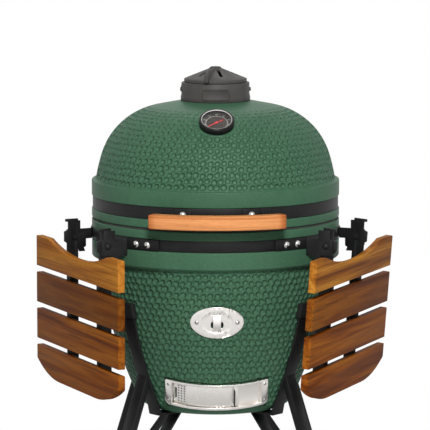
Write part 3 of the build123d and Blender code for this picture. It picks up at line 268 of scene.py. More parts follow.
def grey(level):
    return (level, level, level, 1.0)


def shaded(colour, share):
    """A colour made darker by a share."""
    return (*(share * part for part in colour), 1.0)


def glaze_finish():
    """Green glaze with slow tone changes and fine specks, with painted shade on the dimples' edges and
    painted light in them.
    """
    finish = Finish("green_glaze", Specular_IOR_Level=0.11)
    deep_green = (0.047, 0.122, 0.069)
    fresh_green = (0.062, 0.147, 0.085)
    dark_speck = (0.026, 0.086, 0.048, 1.0)
    pale_speck = (0.120, 0.240, 0.164, 1.0)
    # Colours of the painted shade on the dimples' walls and the painted light on their floors
    dimple_shade_green = (0.012, 0.058, 0.030, 1.0)
    dimple_light_green = (0.130, 0.270, 0.185, 1.0)
    place = finish.place()
    cloud = finish.noise(place, scale=9.0, detail=3.0)
    colour = finish.ramp(cloud, (0.30, deep_green), (0.70, fresh_green))
    speck = finish.noise(place, scale=620.0, detail=2.0, roughness=0.6)
    dark = finish.ramp(speck, (0.34, grey(1.0)), (0.42, grey(0.0)))
    pale = finish.ramp(speck, (0.62, grey(0.0)), (0.72, grey(1.0)))
    colour = finish.mix(dark, colour, dark_speck)
    colour = finish.mix(pale, colour, pale_speck)
    dimple = finish.value("dimple")
    # Painted shade round each dimple's edge, and a painted pool of light in its middle
    edge = finish.ramp(dimple, (0.0, grey(0.0)), (0.15, grey(0.12)), (0.45, grey(0.0)))
    dimple_light = finish.level(dimple, low=0.0, high=0.22, start=0.30, end=0.80)
    colour = finish.mix(edge, colour, dimple_shade_green)
    colour = finish.mix(dimple_light, colour, dimple_light_green)
    finish.paint(Base_Color=colour, Roughness=finish.level(speck, low=0.38, high=0.54))
    dimple_side = finish.level(dimple, low=1.0, high=0.0, start=0.02, end=0.36)
    finish.bump(dimple_side, strength=1.0, distance=0.0028)
    finish.bump(finish.noise(place, scale=210.0, detail=3.0), strength=0.18, distance=0.0006)
    return finish


def clay_finish():
    """Bare fire clay, cloudy, with dark grains."""
    finish = Finish("fire_clay", Roughness=0.85)
    dark_clay = (0.40, 0.31, 0.22)
    pale_clay = (0.52, 0.42, 0.31)
    dark_grain = (0.22, 0.16, 0.11, 1.0)
    place = finish.place()
    grain = finish.noise(place, scale=320.0, detail=5.0, roughness=0.65)
    cloud = finish.noise(place, scale=14.0, detail=3.0)
    colour = finish.ramp(cloud, (0.3, dark_clay), (0.7, pale_clay))
    spots = finish.ramp(grain, (0.30, grey(1.0)), (0.42, grey(0.0)))
    finish.paint(Base_Color=finish.mix(spots, colour, dark_grain))
    finish.bump(grain, strength=0.35, distance=0.0008)
    return finish


def felt_finish():
    """Black felt with fine fibres."""
    finish = Finish("felt", Roughness=0.95, Sheen_Weight=0.3)
    fibre = finish.noise(finish.place((1.0, 1.0, 2.0)), scale=900.0, detail=6.0, roughness=0.7)
    colour = finish.ramp(fibre, (0.3, (0.010, 0.010, 0.010)), (0.7, (0.040, 0.039, 0.037)))
    finish.paint(Base_Color=colour)
    finish.bump(fibre, strength=0.6, distance=0.0008)
    return finish


def powder_finish(name, low, high, rough):
    """Black powder coat with a fine orange peel."""
    finish = Finish(name, Specular_IOR_Level=0.18)
    place = finish.place()
    cloud = finish.noise(place, scale=24.0, detail=4.0)
    peel = finish.noise(place, scale=900.0, detail=2.0)
    colour = finish.ramp(cloud, (0.3, (low, low, low * 1.05)), (0.7, (high, high, high * 1.04)))
    finish.paint(Base_Color=colour, Roughness=finish.level(cloud, low=rough - 0.07, high=rough + 0.07))
    finish.bump(peel, strength=0.16, distance=0.0004)
    return finish


def iron_finish():
    """Matt black cast iron with a sandy skin."""
    finish = Finish("cast_iron", Specular_IOR_Level=0.4)
    place = finish.place()
    sand = finish.noise(place, scale=520.0, detail=5.0, roughness=0.7)
    cloud = finish.noise(place, scale=30.0, detail=4.0)
    colour = finish.ramp(cloud, (0.3, (0.036, 0.033, 0.031)), (0.7, (0.060, 0.054, 0.050)))
    finish.paint(Base_Color=colour, Roughness=finish.level(sand, low=0.50, high=0.72))
    finish.bump(sand, strength=0.45, distance=0.0010)
    return finish


def steel_finish():
    """Brushed steel: fine lines from side to side, and faint smudges."""
    finish = Finish("stainless", Metallic=1.0)
    bright = (0.94, 0.905, 0.865)
    along_x = (14.0, 700.0, 700.0)
    lines = finish.noise(finish.place(along_x), scale=1.0, detail=5.0, roughness=0.6)
    smudge = finish.noise(finish.place(), scale=26.0, detail=3.0)
    finish.paint(
        Base_Color=finish.ramp(lines, (0.25, shaded(bright, 0.90)), (0.75, bright)),
        Roughness=finish.level(smudge, low=0.25, high=0.32, start=0.3, end=0.7),
    )
    finish.bump(lines, strength=0.04, distance=0.0001)
    return finish


def chrome_finish():
    """Plated screws and nuts."""
    finish = Finish("chrome", Metallic=1.0)
    smudge = finish.noise(finish.place(), scale=130.0, detail=3.0)
    finish.paint(
        Base_Color=finish.ramp(smudge, (0.3, (0.40, 0.39, 0.38)), (0.7, (0.56, 0.55, 0.54))),
        Roughness=finish.level(smudge, low=0.12, high=0.24),
    )
    return finish


def wood_finish(name, dark, middle, light, figure, contrast):
    """Oiled wood along the grain attribute: broad figure, streaks, and short dark pores."""
    finish = Finish(name, Specular_IOR_Level=0.05)
    broad_place = finish.place((1.4, figure, figure), "grain")
    streak_place = finish.place((7.0, 230.0, 120.0), "grain")
    pore_place = finish.place((55.0, 1500.0, 900.0), "grain")
    broad = finish.noise(broad_place, scale=1.0, detail=3.0, roughness=0.55, distortion=0.9)
    streak = finish.noise(streak_place, scale=1.0, detail=4.0, roughness=0.6, distortion=0.4)
    pores = finish.noise(pore_place, scale=1.0, detail=2.0, roughness=0.5)
    colour = finish.ramp(broad, (0.34, dark), (0.47, middle), (0.60, light), (0.72, middle))
    dark_lines = finish.level(streak, low=0.0, high=contrast, start=0.50, end=0.32)
    pale_lines = finish.level(streak, low=0.0, high=0.35, start=0.55, end=0.75)
    open_pores = finish.level(pores, low=0.0, high=0.45, start=0.40, end=0.30)
    colour = finish.mix(dark_lines, colour, shaded(dark, 0.42))
    colour = finish.mix(pale_lines, colour, (*light, 1.0))
    colour = finish.mix(open_pores, colour, shaded(dark, 0.30))
    # Tone: each slat's own shade, and on the handle painted shade at its ends; a tone below 1 also makes the
    # wood redder
    tone = finish.value("tone")
    ruddy = finish.level(tone, low=1.0, high=0.0, start=0.70, end=1.00)
    colour = finish.mix(ruddy, colour, (1.0, 0.76, 0.62, 1.0), "MULTIPLY")
    colour = finish.mix(1.0, colour, tone, "MULTIPLY")
    finish.paint(Base_Color=colour, Roughness=finish.level(streak, low=0.46, high=0.66))
    finish.bump(pores, strength=0.22, distance=0.0004)
    finish.bump(streak, strength=0.10, distance=0.0004)
    return finish


def enamel_finish(name, colour, rough, gloss):
    """Plain paint with a slight unevenness."""
    finish = Finish(name, Specular_IOR_Level=gloss)
    cloud = finish.noise(finish.place(), scale=160.0, detail=3.0)
    paler = tuple(min(1.0, 1.25 * part + 0.004) for part in colour)
    finish.paint(
        Base_Color=finish.ramp(cloud, (0.3, colour), (0.7, paler)),
        Roughness=finish.level(cloud, low=rough - 0.05, high=rough + 0.08),
    )
    return finish


def glass_finish():
    """Clear thin glass with faint smudges."""
    finish = Finish("gauge_glass", Transmission_Weight=1.0, IOR=1.25)
    smudge = finish.noise(finish.place(), scale=90.0, detail=3.0)
    finish.paint(
        Base_Color=finish.ramp(smudge, (0.3, (0.96, 0.97, 0.97)), (0.7, (1.0, 1.0, 1.0))),
        Roughness=finish.level(smudge, low=0.0, high=0.05),
    )
    return finish


glaze = glaze_finish()
clay = clay_finish()
felt = felt_finish()
powder = powder_finish("black_steel", low=0.006, high=0.012, rough=0.48)
moulded = powder_finish("foot_plastic", low=0.011, high=0.019, rough=0.55)
iron = iron_finish()
steel = steel_finish()
chrome = chrome_finish()
acacia = wood_finish(
    "acacia",
    dark=(0.170, 0.048, 0.007),
    middle=(0.390, 0.135, 0.017),
    light=(0.600, 0.255, 0.036),
    figure=26.0,
    contrast=0.55,
)
beech = wood_finish(
    "handle_wood",
    dark=(0.530, 0.185, 0.056),
    middle=(0.665, 0.258, 0.087),
    light=(0.780, 0.335, 0.130),
    figure=60.0,
    contrast=0.30,
)
gauge_black = enamel_finish("gauge_black", (0.005, 0.005, 0.005), rough=0.30, gloss=0.15)
gauge_dial = enamel_finish("gauge_dial", (0.034, 0.027, 0.021), rough=0.45, gloss=0.10)
gauge_red = enamel_finish("gauge_red", (0.720, 0.035, 0.035), rough=0.40, gloss=0.20)
gauge_white = enamel_finish("dial_white", (0.46, 0.45, 0.43), rough=0.45, gloss=0.45)
gauge_glass = glass_finish()


def body_of(node):
    return frame["nodes"][node]["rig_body"]


def finish_piece(name, shape, finish, nodes=(), body=None, smooth=35.0, second=None):
    """Make a shape into an object that rides on its body and stands for its nodes."""
    mesh = bpy.data.meshes.new(name)
    shape.to_mesh(mesh)
    shape.free()
    mesh.materials.append(finish.material)
    if second:
        mesh.materials.append(second.material)
    mesh.shade_smooth()
    mesh.set_sharp_from_angle(angle=math.radians(smooth))
    piece = bpy.data.objects.new(name, mesh)
    bpy.context.scene.collection.objects.link(piece)
    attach(piece, body or body_of(nodes[0]))
    if nodes:
        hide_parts(*nodes)
    return piece


def round_edges(shape, edges, size, segments, affect="EDGES"):
    bmesh.ops.bevel(
        shape,
        geom=edges,
        offset=size,
        offset_type="OFFSET",
        segments=segments,
        profile=0.5,
        affect=affect,
        material=-1,
    )


# Ceramic shells

def arc_run(centre, radius, first, last, step):
    """Points along an arc of a profile, about a step apart."""
    count = max(2, round(abs(last - first) * radius / step))
    angles = [first + (last - first) * index / count for index in range(count + 1)]
    return [(centre[0] + radius * math.cos(angle), centre[1] + radius * math.sin(angle)) for angle in angles]


def softened(points, reach, steps=4):
    """A bent line with each inner corner rounded off."""
    soft = [points[0]]
    for before, here, after in zip(points, points[1:], points[2:]):
        here = Vector(here)
        start = here + (Vector(before) - here).normalized() * min(reach, (Vector(before) - here).length / 2)
        end = here + (Vector(after) - here).normalized() * min(reach, (Vector(after) - here).length / 2)
        for index in range(steps + 1):
            share = index / steps
            soft.append(tuple(start.lerp(here, share).lerp(here.lerp(end, share), share)))
    soft.append(points[-1])
    return soft


smooth_zone, dimpled_zone, inner_zone = 0, 1, 2


def spun_shell(stretches, closed):
    """Turn a profile about the upright axis. Each stretch is its zone and its points."""
    shape = bmesh.new()
    run = shape.verts.layers.float.new("run")
    zone = shape.verts.layers.int.new("zone")
    shape.verts.layers.float.new("dimple")
    chain = []
    along = 0.0
    for kind, points in stretches:
        along = 0.0 if kind != dimpled_zone else along
        for radius, height in points:
            place = Vector((0.0, -radius, height))
            gap = (place - chain[-1].co).length if chain else 1.0
            if gap < same_point:
                chain[-1][zone] = max(chain[-1][zone], kind)
                continue
            along += gap if kind == dimpled_zone else 0.0
            vertex = shape.verts.new(place)
            vertex[run] = along
            vertex[zone] = kind
            chain.append(vertex)
    edges = [shape.edges.new(pair) for pair in zip(chain, chain[1:])]
    if closed:
        edges.append(shape.edges.new((chain[-1], chain[0])))
    sector = 2 * math.pi / shell_sectors
    steps = shell_columns // shell_sectors
    bmesh.ops.spin(shape, geom=chain + edges, angle=sector, steps=steps, **upright)
    bmesh.ops.spin(
        shape,
        geom=shape.verts[:] + shape.edges[:] + shape.faces[:],
        angle=2 * math.pi - sector,
        steps=shell_sectors - 1,
        use_duplicate=True,
        **upright,
    )
    bmesh.ops.remove_doubles(shape, verts=shape.verts[:], dist=same_point)
    bmesh.ops.recalc_face_normals(shape, faces=shape.faces[:])
    shape.normal_update()
    return shape


def dimple_pattern(along, azimuth, radius, total, fade, seed):
    """Nearness of points of a shell to the middle of a dimple: uneven rows that fade at both ends."""
    chance = random.Random(seed)
    rows = int(total / dimple_row) + 2
    inside = np.zeros_like(along)
    for row in range(rows):
        middle = (row + first_row) * dimple_row
        near = np.abs(along - middle) < 2 * dimple_row
        row_radius = float(np.mean(radius[near])) if near.any() else rim_radius
        count = max(6, round(2 * math.pi * row_radius / dimple_pitch))
        start = math.pi / count * (row % 2)
        start += chance.uniform(-row_stray, row_stray) / row_radius * dimple_pitch
        shift_along = np.array([chance.uniform(-dimple_stray, dimple_stray) for _ in range(count)])
        shift_round = np.array([chance.uniform(-dimple_stray, dimple_stray) for _ in range(count)])
        shift_round = shift_round / row_radius
        size = np.array([chance.uniform(*dimple_sizes) for _ in range(count)])
        if not near.any():
            continue
        turn = 2 * math.pi / count
        index = np.round((azimuth[near] - start) / turn).astype(int)
        for neighbour in (-1, 0, 1):
            which = (index + neighbour) % count
            aside = azimuth[near] - start - which * turn - shift_round[which]
            aside = (aside + math.pi) % (2 * math.pi) - math.pi
            away = np.hypot(along[near] - middle - shift_along[which], aside * radius[near])
            inside[near] = np.maximum(inside[near], 1.0 - away / (dimple_radius * size[which]))
    ends = np.minimum(along / fade[0], (total - along) / fade[1])
    return inside * np.clip(ends, 0.0, 1.0)


def press_dimples(shape, fade, seed):
    """Sink the dimples into the dimpled stretch and note them for the glaze."""
    run = shape.verts.layers.float["run"]
    zone = shape.verts.layers.int["zone"]
    pressed = [vertex for vertex in shape.verts if vertex[zone] == dimpled_zone]
    along = np.array([vertex[run] for vertex in pressed])
    place = np.array([vertex.co for vertex in pressed])
    radius = np.hypot(place[:, 0], place[:, 1])
    azimuth = np.arctan2(place[:, 0], -place[:, 1])
    pattern = dimple_pattern(along, azimuth, radius, along.max(), fade, seed)
    depths = (1.0 - (1.0 - pattern) ** dimple_wall) * dimple_depth
    dimple = shape.verts.layers.float["dimple"]
    normals = [vertex.normal.copy() for vertex in pressed]
    for vertex, normal, inside, depth in zip(pressed, normals, pattern, depths):
        vertex.co -= normal * float(depth)
        vertex[dimple] = float(inside)


def soft_step(value, full, none):
    """1 up to full, 0 from none, smooth between."""
    share = min(1.0, max(0.0, (none - value) / (none - full)))
    return share * share * (3.0 - 2.0 * share)


def line_inside(shape):
    """Bare clay on the faces that look inward."""
    zone = shape.verts.layers.int["zone"]
    for face in shape.faces:
        if sum(vertex[zone] == inner_zone for vertex in face.verts) >= 2:
            face.material_index = 1


# Side curve of the base: a circle over the chord from corner to shoulder
chord = Vector((shoulder[0] - corner[0], shoulder[1] - corner[1]))
side_circle = (chord.length_squared / 4 + side_bulge ** 2) / (2 * side_bulge)
side_centre = (
    (corner[0] + shoulder[0]) / 2 - (side_circle - side_bulge) * chord.y / chord.length,
    (corner[1] + shoulder[1]) / 2 + (side_circle - side_bulge) * chord.x / chord.length,
)


def side_angle(height, offset=0.0):
    """Angle on the side circle at a height, for the curve moved outward by an offset."""
    return math.asin((height - side_centre[1]) / (side_circle + offset))


def side_radius(height):
    return side_centre[0] + side_circle * math.cos(side_angle(height))


# The air intake's own directions: along its tilted axis, to the right, and to the back
draft_axis = Vector((0.0, -math.sin(draft_tilt), math.cos(draft_tilt)))
draft_right = Vector((1.0, 0.0, 0.0))
draft_back = draft_axis.cross(draft_right)
draft_seat_out = side_radius(draft_height) - draft_recess
draft_axis_out = draft_seat * math.cos(draft_tilt) - draft_seat_out
draft_origin = Vector((0.0, draft_axis_out, draft_height + draft_seat * math.sin(draft_tilt)))


def draft_place(point):
    """Radius, azimuth and height of a point about the air intake's axis."""
    away = point - draft_origin
    right, back = away.dot(draft_right), away.dot(draft_back)
    return math.hypot(right, back), math.atan2(right, -back), away.dot(draft_axis)


def draft_point(radius, azimuth, height):
    out = draft_right * math.sin(azimuth) - draft_back * math.cos(azimuth)
    return draft_origin + out * radius + draft_axis * height


def seat_air_intake(shape):
    """Sink the curved recess for the air intake into the front, and open its window through the wall."""
    dimple = shape.verts.layers.float["dimple"]
    zone = shape.verts.layers.int["zone"]
    recess_top, wall_from = 0.05, 0.1
    side_edge = draft_half_angle + draft_play_angle
    long_edge = draft_half_height + draft_play
    in_window = set()
    for vertex in shape.verts:
        if vertex.co.y > 0.0 or vertex.co.z > draft_origin.z + recess_top:
            continue
        radius, azimuth, height = draft_place(vertex.co)
        if vertex[zone] != inner_zone and radius > draft_seat:
            share = soft_step(abs(azimuth), side_edge, side_edge + draft_soft_angle)
            share *= soft_step(abs(height), long_edge, long_edge + draft_softness)
            if share > 0.0:
                sunk = radius + (draft_seat - draft_clearance - radius) * share
                vertex.co = draft_point(sunk, azimuth, height)
                vertex[dimple] *= 1.0 - share
        wide = window_angles[0] < azimuth < window_angles[1]
        if wide and abs(height) < window_half_height and radius > wall_from:
            in_window.add(vertex)
    cut = [face for face in shape.faces if all(vertex in in_window for vertex in face.verts)]
    bmesh.ops.delete(shape, geom=cut, context="FACES")
    edges = [edge for edge in shape.edges if edge.is_boundary]
    bmesh.ops.bridge_loops(shape, edges=edges)


def open_starter_port(shape):
    """Sink the round starter port behind its plate."""
    lean = side_angle(port_height)
    centre = Vector((0.0, -side_radius(port_height), port_height))
    normal = Vector((0.0, -math.cos(lean), math.sin(lean)))
    zone = shape.verts.layers.int["zone"]
    for vertex in shape.verts:
        if vertex[zone] == dimpled_zone and vertex.co.y < 0.0:
            away = vertex.co - centre
            if (away - normal * away.dot(normal)).length < port_radius:
                vertex.co -= normal * port_depth


def base_shell_piece():
    corner_reach, corner_rise = corner[0] - base_floor_radius, corner[1] - base_bottom
    corner_circle = (corner_reach ** 2 + corner_rise ** 2) / (2 * corner_rise)
    corner_centre = (base_floor_radius, base_bottom + corner_circle)
    corner_angle = math.atan2(corner[1] - corner_centre[1], corner[0] - corner_centre[0])
    underside = arc_run(corner_centre, corner_circle, -math.pi / 2, corner_angle, fine_row)
    outer_side = arc_run(side_centre, side_circle, side_angle(corner[1]), side_angle(shoulder[1]), shell_row)
    rim = softened(
        [
            shoulder,
            flange_foot,
            (rim_radius, base_groove[0]),
            (groove_radius, base_groove[0]),
            (groove_radius, base_groove[1]),
            (rim_radius, base_groove[1]),
            (rim_radius, rim_top),
            (rim_inside, rim_top),
        ],
        rim_softness,
    )
    inner_side = side_circle - base_wall
    window_top = base_floor + window_room
    inside_angles = [side_angle(height, -base_wall) for height in (shoulder[1], window_top, base_floor)]
    upper_inside = arc_run(side_centre, inner_side, *inside_angles[:2], inner_row)
    lower_inside = arc_run(side_centre, inner_side, *inside_angles[1:], fine_row)
    shape = spun_shell(
        [
            (smooth_zone, [(0.0, base_bottom)]),
            (smooth_zone, underside),
            (dimpled_zone, outer_side),
            (smooth_zone, rim[1:]),
            (inner_zone, upper_inside + lower_inside + [(0.0, base_floor)]),
        ],
        closed=False,
    )
    press_dimples(shape, base_fade, seed=7)
    open_starter_port(shape)
    seat_air_intake(shape)
    line_inside(shape)
    return finish_piece("base_shell_glazed", shape, glaze, ["base_shell"], smooth=60.0, second=clay)


# Dome curve of the lid: a straight foot, a wide flank and a tight crown
flank_foot = (
    dome_foot[0] - dome_foot_length * math.sin(dome_lean),
    dome_foot[1] + dome_foot_length * math.cos(dome_lean),
)
flank_centre = (
    flank_foot[0] - flank_radius * math.cos(dome_lean),
    flank_foot[1] - flank_radius * math.sin(dome_lean),
)
crown_centre = (
    flank_centre[0] + (flank_radius - crown_radius) * math.cos(flank_lean),
    flank_centre[1] + (flank_radius - crown_radius) * math.sin(flank_lean),
)

# The thermometer's own frame: x to the right, z out of the lid
gauge_normal = Vector((0.0, -math.cos(gauge_lean), math.sin(gauge_lean)))
gauge_origin = Vector((0.0, -crown_centre[0], crown_centre[1])) + gauge_normal * gauge_seat
gauge_frame = Matrix.Translation(gauge_origin) @ Matrix(
    ((1.0, 0.0, 0.0), tuple(gauge_normal.cross(Vector((1.0, 0.0, 0.0)))), tuple(gauge_normal))
).transposed().to_4x4()


def seat_thermometer(shape):
    """Flatten a round seat for the thermometer."""
    dimple = shape.verts.layers.float["dimple"]
    zone = shape.verts.layers.int["zone"]
    seat_edge = gauge_radius + gauge_seat_play
    for vertex in shape.verts:
        if vertex[zone] != dimpled_zone or vertex.co.y > 0.0:
            continue
        away = vertex.co - gauge_origin
        lift = away.dot(gauge_normal)
        aside = (away - gauge_normal * lift).length
        share = soft_step(aside, seat_edge, seat_edge + gauge_seat_softness)
        if share > 0.0:
            vertex.co -= gauge_normal * (lift * share)
            vertex[dimple] *= 1.0 - share


def lid_shell_piece():
    rim = softened(
        [
            (rim_inside, lid_lip),
            (rim_radius, lid_lip),
            (rim_radius, lid_groove[0]),
            (groove_radius, lid_groove[0]),
            (groove_radius, lid_groove[1]),
            (rim_radius, lid_groove[1]),
            (rim_radius, lid_flange_top),
            dome_foot,
            flank_foot,
        ],
        rim_softness,
    )
    foot_start, foot_end = Vector(rim[-2]), Vector(flank_foot)
    foot = [tuple(foot_start.lerp(foot_end, step / foot_steps)) for step in range(foot_steps)]
    flank = arc_run(flank_centre, flank_radius, dome_lean, flank_lean, shell_row)
    crown = arc_run(crown_centre, crown_radius, flank_lean, crown_lean, shell_row)
    inner_crown = arc_run(crown_centre, crown_radius - lid_wall, crown_lean, flank_lean, inner_row / 2)
    inner_flank = arc_run(flank_centre, flank_radius - lid_wall, flank_lean, dome_lean, inner_row)
    crown_fall = 1.0 / math.tan(crown_lean)
    flue_seat = crown[-1][1] + (crown[-1][0] - flue_seat_radius) * crown_fall
    flue_foot = inner_crown[0][1] + (inner_crown[0][0] - flue_radius) * crown_fall
    neck = softened(
        [
            crown[-1],
            (flue_seat_radius, flue_seat),
            (flue_radius, flue_seat),
            (flue_radius, flue_foot),
        ],
        rim_softness,
    )
    shape = spun_shell(
        [
            (smooth_zone, rim[:-1]),
            (dimpled_zone, foot + flank + crown),
            (smooth_zone, neck[1:-1]),
            (inner_zone, neck[-1:] + inner_crown + inner_flank),
        ],
        closed=True,
    )
    press_dimples(shape, lid_fade, seed=11)
    seat_thermometer(shape)
    line_inside(shape)
    return finish_piece("lid_shell_glazed", shape, glaze, ["lid_shell"], smooth=60.0, second=clay)


base_shell_piece()
lid_shell_piece()


# Metal and moulded pieces that keep the shape of their nodes, with softened edges

flat_within = math.radians(0.3)
sharp_from = math.radians(40.0)


def softened_copy(node, edge):
    """Merged copy of a node's shape with its sharp edges rounded off."""
    shape = bmesh.new()
    shape.from_mesh(frame["nodes"][node].data)
    bmesh.ops.remove_doubles(shape, verts=shape.verts[:], dist=same_node_point)
    bmesh.ops.dissolve_limit(shape, angle_limit=flat_within, verts=shape.verts[:], edges=shape.edges[:])
    if edge:
        sharp = [line for line in shape.edges if line.is_manifold and line.calc_face_angle() > sharp_from]
        round_edges(shape, sharp, edge, segments=2)
    return shape


leg_names = ("front_left", "front_right", "rear_left", "rear_right")
kept_shapes = [
    (powder, 0.0005, ["base_band", "lid_band", "handle_brackets", "hinge_base_bracket", "hinge_lid_arm"]),
    (powder, 0.0006, [f"bracket_{side}_{end}" for side in shelf_side for end in ("front", "rear")]),
    (powder, 0.0006, [f"{side}_arm_{end}" for side in shelf_side for end in ("front", "rear")]),
    (powder, 0.0009, [f"strap_{leg}" for leg in leg_names]),
    (powder, 0.0008, [f"leg_{leg}" for leg in leg_names]),
    (powder, 0.0008, ["stand_braces", "stand_hub"]),
    (powder, 0.0, ["shelf_pivot_bolts", "vent_pivot_bolt"]),
    (moulded, 0.0010, ["strap_caps", "leg_feet"]),
    (iron, 0.0010, ["vent_collar", "vent_cap"]),
    (iron, 0.0006, ["charcoal_grate"]),
    (steel, 0.0004, ["starter_plate", "draft_frame"]),
    (steel, 0.0, ["ash_screen", "cooking_grate", "hinge_springs"]),
    (steel, 0.0006, ["hinge_pin"]),
    (chrome, 0.0, ["band_bolts", "handle_nuts", "plate_screws"]),
    (felt, 0.0006, ["base_gasket", "lid_gasket"]),
    (clay, 0.0016, ["fire_box", "fire_ring"]),
]
for finish, edge, nodes in kept_shapes:
    for node in nodes:
        finish_piece(f"{node}_{finish.name}", softened_copy(node, edge), finish, [node])


def door_piece():
    """Steel door of the air intake; the faces of its pull tab take the black powder finish."""
    sheet_edge, tab_from = 0.0004, door_face + 0.0008
    shape = softened_copy("draft_door", sheet_edge)
    for face in shape.faces:
        if draft_place(face.calc_center_median())[0] > tab_from:
            face.material_index = 1
    return finish_piece("draft_door_stainless", shape, steel, ["draft_door"], second=powder)


door_piece()


# Wooden slats and handle

def grained(shape, place, shade):
    """Keep each point's place along, across and into the wood for the grain, and its tone: a board's own
    shade, or the handle's painted shade at its ends.
    """
    grain = shape.verts.layers.float_vector.new("grain")
    tone = shape.verts.layers.float.new("tone")
    for vertex in shape.verts:
        vertex[grain] = place(vertex.co)
        vertex[tone] = shade(vertex.co)


def slat_outline(index):
    """Outline of a slat, from its top left corner: the first has a hollow top, the last cut corners."""
    half = slat_length / 2
    top = -slat_drop - index * slat_pitch
    bottom = top - slat_width
    upper = [(-half, top), (half, top)]
    if index == 0:
        span = half - slat_flat
        circle = (span ** 2 + slat_hollow ** 2) / (2 * slat_hollow)
        reach = math.asin(span / circle)
        middle = (0.0, top - slat_hollow + circle)
        hollow = arc_run(middle, circle, -math.pi / 2 - reach, -math.pi / 2 + reach, slat_arc_step)
        upper[1:1] = hollow
    if index == slat_count - 1:
        circle = (slat_corner_length ** 2 + slat_corner_rise ** 2) / (2 * slat_corner_rise)
        reach = math.asin(slat_corner_length / circle)
        middle = (half - slat_corner_length, bottom + circle)
        right = arc_run(middle, circle, reach - math.pi / 2, -math.pi / 2, slat_arc_step)
        left = [(-x, y) for x, y in reversed(right)]
        return upper + right + left
    return upper + [(half, bottom), (-half, bottom)]


def shelf_frame(side):
    """Frame of a shelf's slats: x along them, y up the shelf, z outward, from the back of the slats."""
    turn = shelf_side[side] * shelf_azimuth
    out = Vector((math.sin(turn), -math.cos(turn), 0.0))
    up = Vector((0.0, 0.0, 1.0))
    hang = shelf_hang[side]
    face = out * math.cos(hang) + up * math.sin(hang)
    rise = up * math.cos(hang) - out * math.sin(hang)
    origin = out * shelf_pivot[0] + up * shelf_pivot[1] + face * slat_face
    return Matrix.Translation(origin) @ Matrix((rise.cross(face), rise, face)).transposed().to_4x4()


def slat_piece(side, index):
    shape = bmesh.new()
    outline = [shape.verts.new((x, y, 0.0)) for x, y in slat_outline(index)]
    back = shape.faces.new(outline)
    front = bmesh.ops.extrude_face_region(shape, geom=[back], use_keep_orig=True)
    moved = [item for item in front["geom"] if isinstance(item, bmesh.types.BMVert)]
    bmesh.ops.translate(shape, vec=(0.0, 0.0, slat_thickness), verts=moved)
    bmesh.ops.recalc_face_normals(shape, faces=shape.faces[:])
    rims = [edge for edge in shape.edges if edge.calc_face_angle() > sharp_from]
    round_edges(shape, rims, slat_edge, segments=3)
    chance = random.Random(f"{side} slat {index}")
    offset = Vector([chance.uniform(-slat_grain_stray, slat_grain_stray) for _ in range(3)])
    grained(shape, lambda point: point + offset, lambda point: slat_shades[side][index])
    bmesh.ops.transform(shape, matrix=shelf_frame(side), verts=shape.verts[:])
    node = f"{side}_slat_{index + 1}"
    return finish_piece(f"{node}_wood", shape, acacia, [node], smooth=45.0)


for side in shelf_side:
    for index in range(slat_count):
        slat_piece(side, index)


def handle_piece():
    """Curved wooden grip with rounded edges."""
    shape = bmesh.new()
    bmesh.ops.create_grid(shape, x_segments=1, y_segments=1, size=0.5)
    bmesh.ops.scale(shape, vec=(handle_depth, handle_tall, 1.0), verts=shape.verts[:])
    round_edges(shape, shape.verts[:], handle_edge, segments=6, affect="VERTICES")
    stood_up = Matrix(((0.0, 0.0, 1.0), (-1.0, 0.0, 0.0), (0.0, 1.0, 0.0))).to_4x4()
    in_front = Matrix.Translation((0.0, -handle_radius, handle_height))
    to_left_end = Matrix.Rotation(-handle_half_angle, 4, "Z")
    bmesh.ops.transform(shape, matrix=to_left_end @ in_front @ stood_up, verts=shape.verts[:])
    whole = shape.verts[:] + shape.edges[:] + shape.faces[:]
    bmesh.ops.spin(shape, geom=whole, angle=2 * handle_half_angle, steps=handle_steps, **upright)
    bmesh.ops.remove_doubles(shape, verts=shape.verts[:], dist=same_point)
    bmesh.ops.holes_fill(shape, edges=[edge for edge in shape.edges if edge.is_boundary], sides=0)
    bmesh.ops.recalc_face_normals(shape, faces=shape.faces[:])
    ends = [face for face in shape.faces if len(face.verts) > 8]
    rims = [edge for face in ends for edge in face.edges]
    round_edges(shape, rims, handle_end_edge, segments=3)

    def around(point):
        return math.atan2(point.x, -point.y)

    def shade(point):
        """Painted shade on the ends, darker on the right one."""
        darker = handle_right_painted_shade if point.x > 0.0 else handle_left_painted_shade
        return 1.0 - darker * soft_step(handle_half_angle - abs(around(point)), 0.0, handle_shade_reach)

    grained(shape, lambda point: (handle_radius * around(point), point.z, point.xy.length), shade)
    return finish_piece("lid_handle_wood", shape, beech, ["lid_handle"], smooth=45.0)


handle_piece()


# Thermometer

def spun_profile(points, steps, matrix, closed=True):
    """Turn a profile of (radius, height) points about the z axis of a frame."""
    shape = bmesh.new()
    chain = [shape.verts.new((radius, 0.0, height)) for radius, height in points]
    edges = [shape.edges.new(pair) for pair in zip(chain, chain[1:])]
    if closed:
        edges.append(shape.edges.new((chain[-1], chain[0])))
    bmesh.ops.spin(shape, geom=chain + edges, angle=2 * math.pi, steps=steps, use_merge=True, **upright)
    bmesh.ops.remove_doubles(shape, verts=shape.verts[:], dist=same_point)
    bmesh.ops.recalc_face_normals(shape, faces=shape.faces[:])
    bmesh.ops.transform(shape, matrix=matrix, verts=shape.verts[:])
    return shape


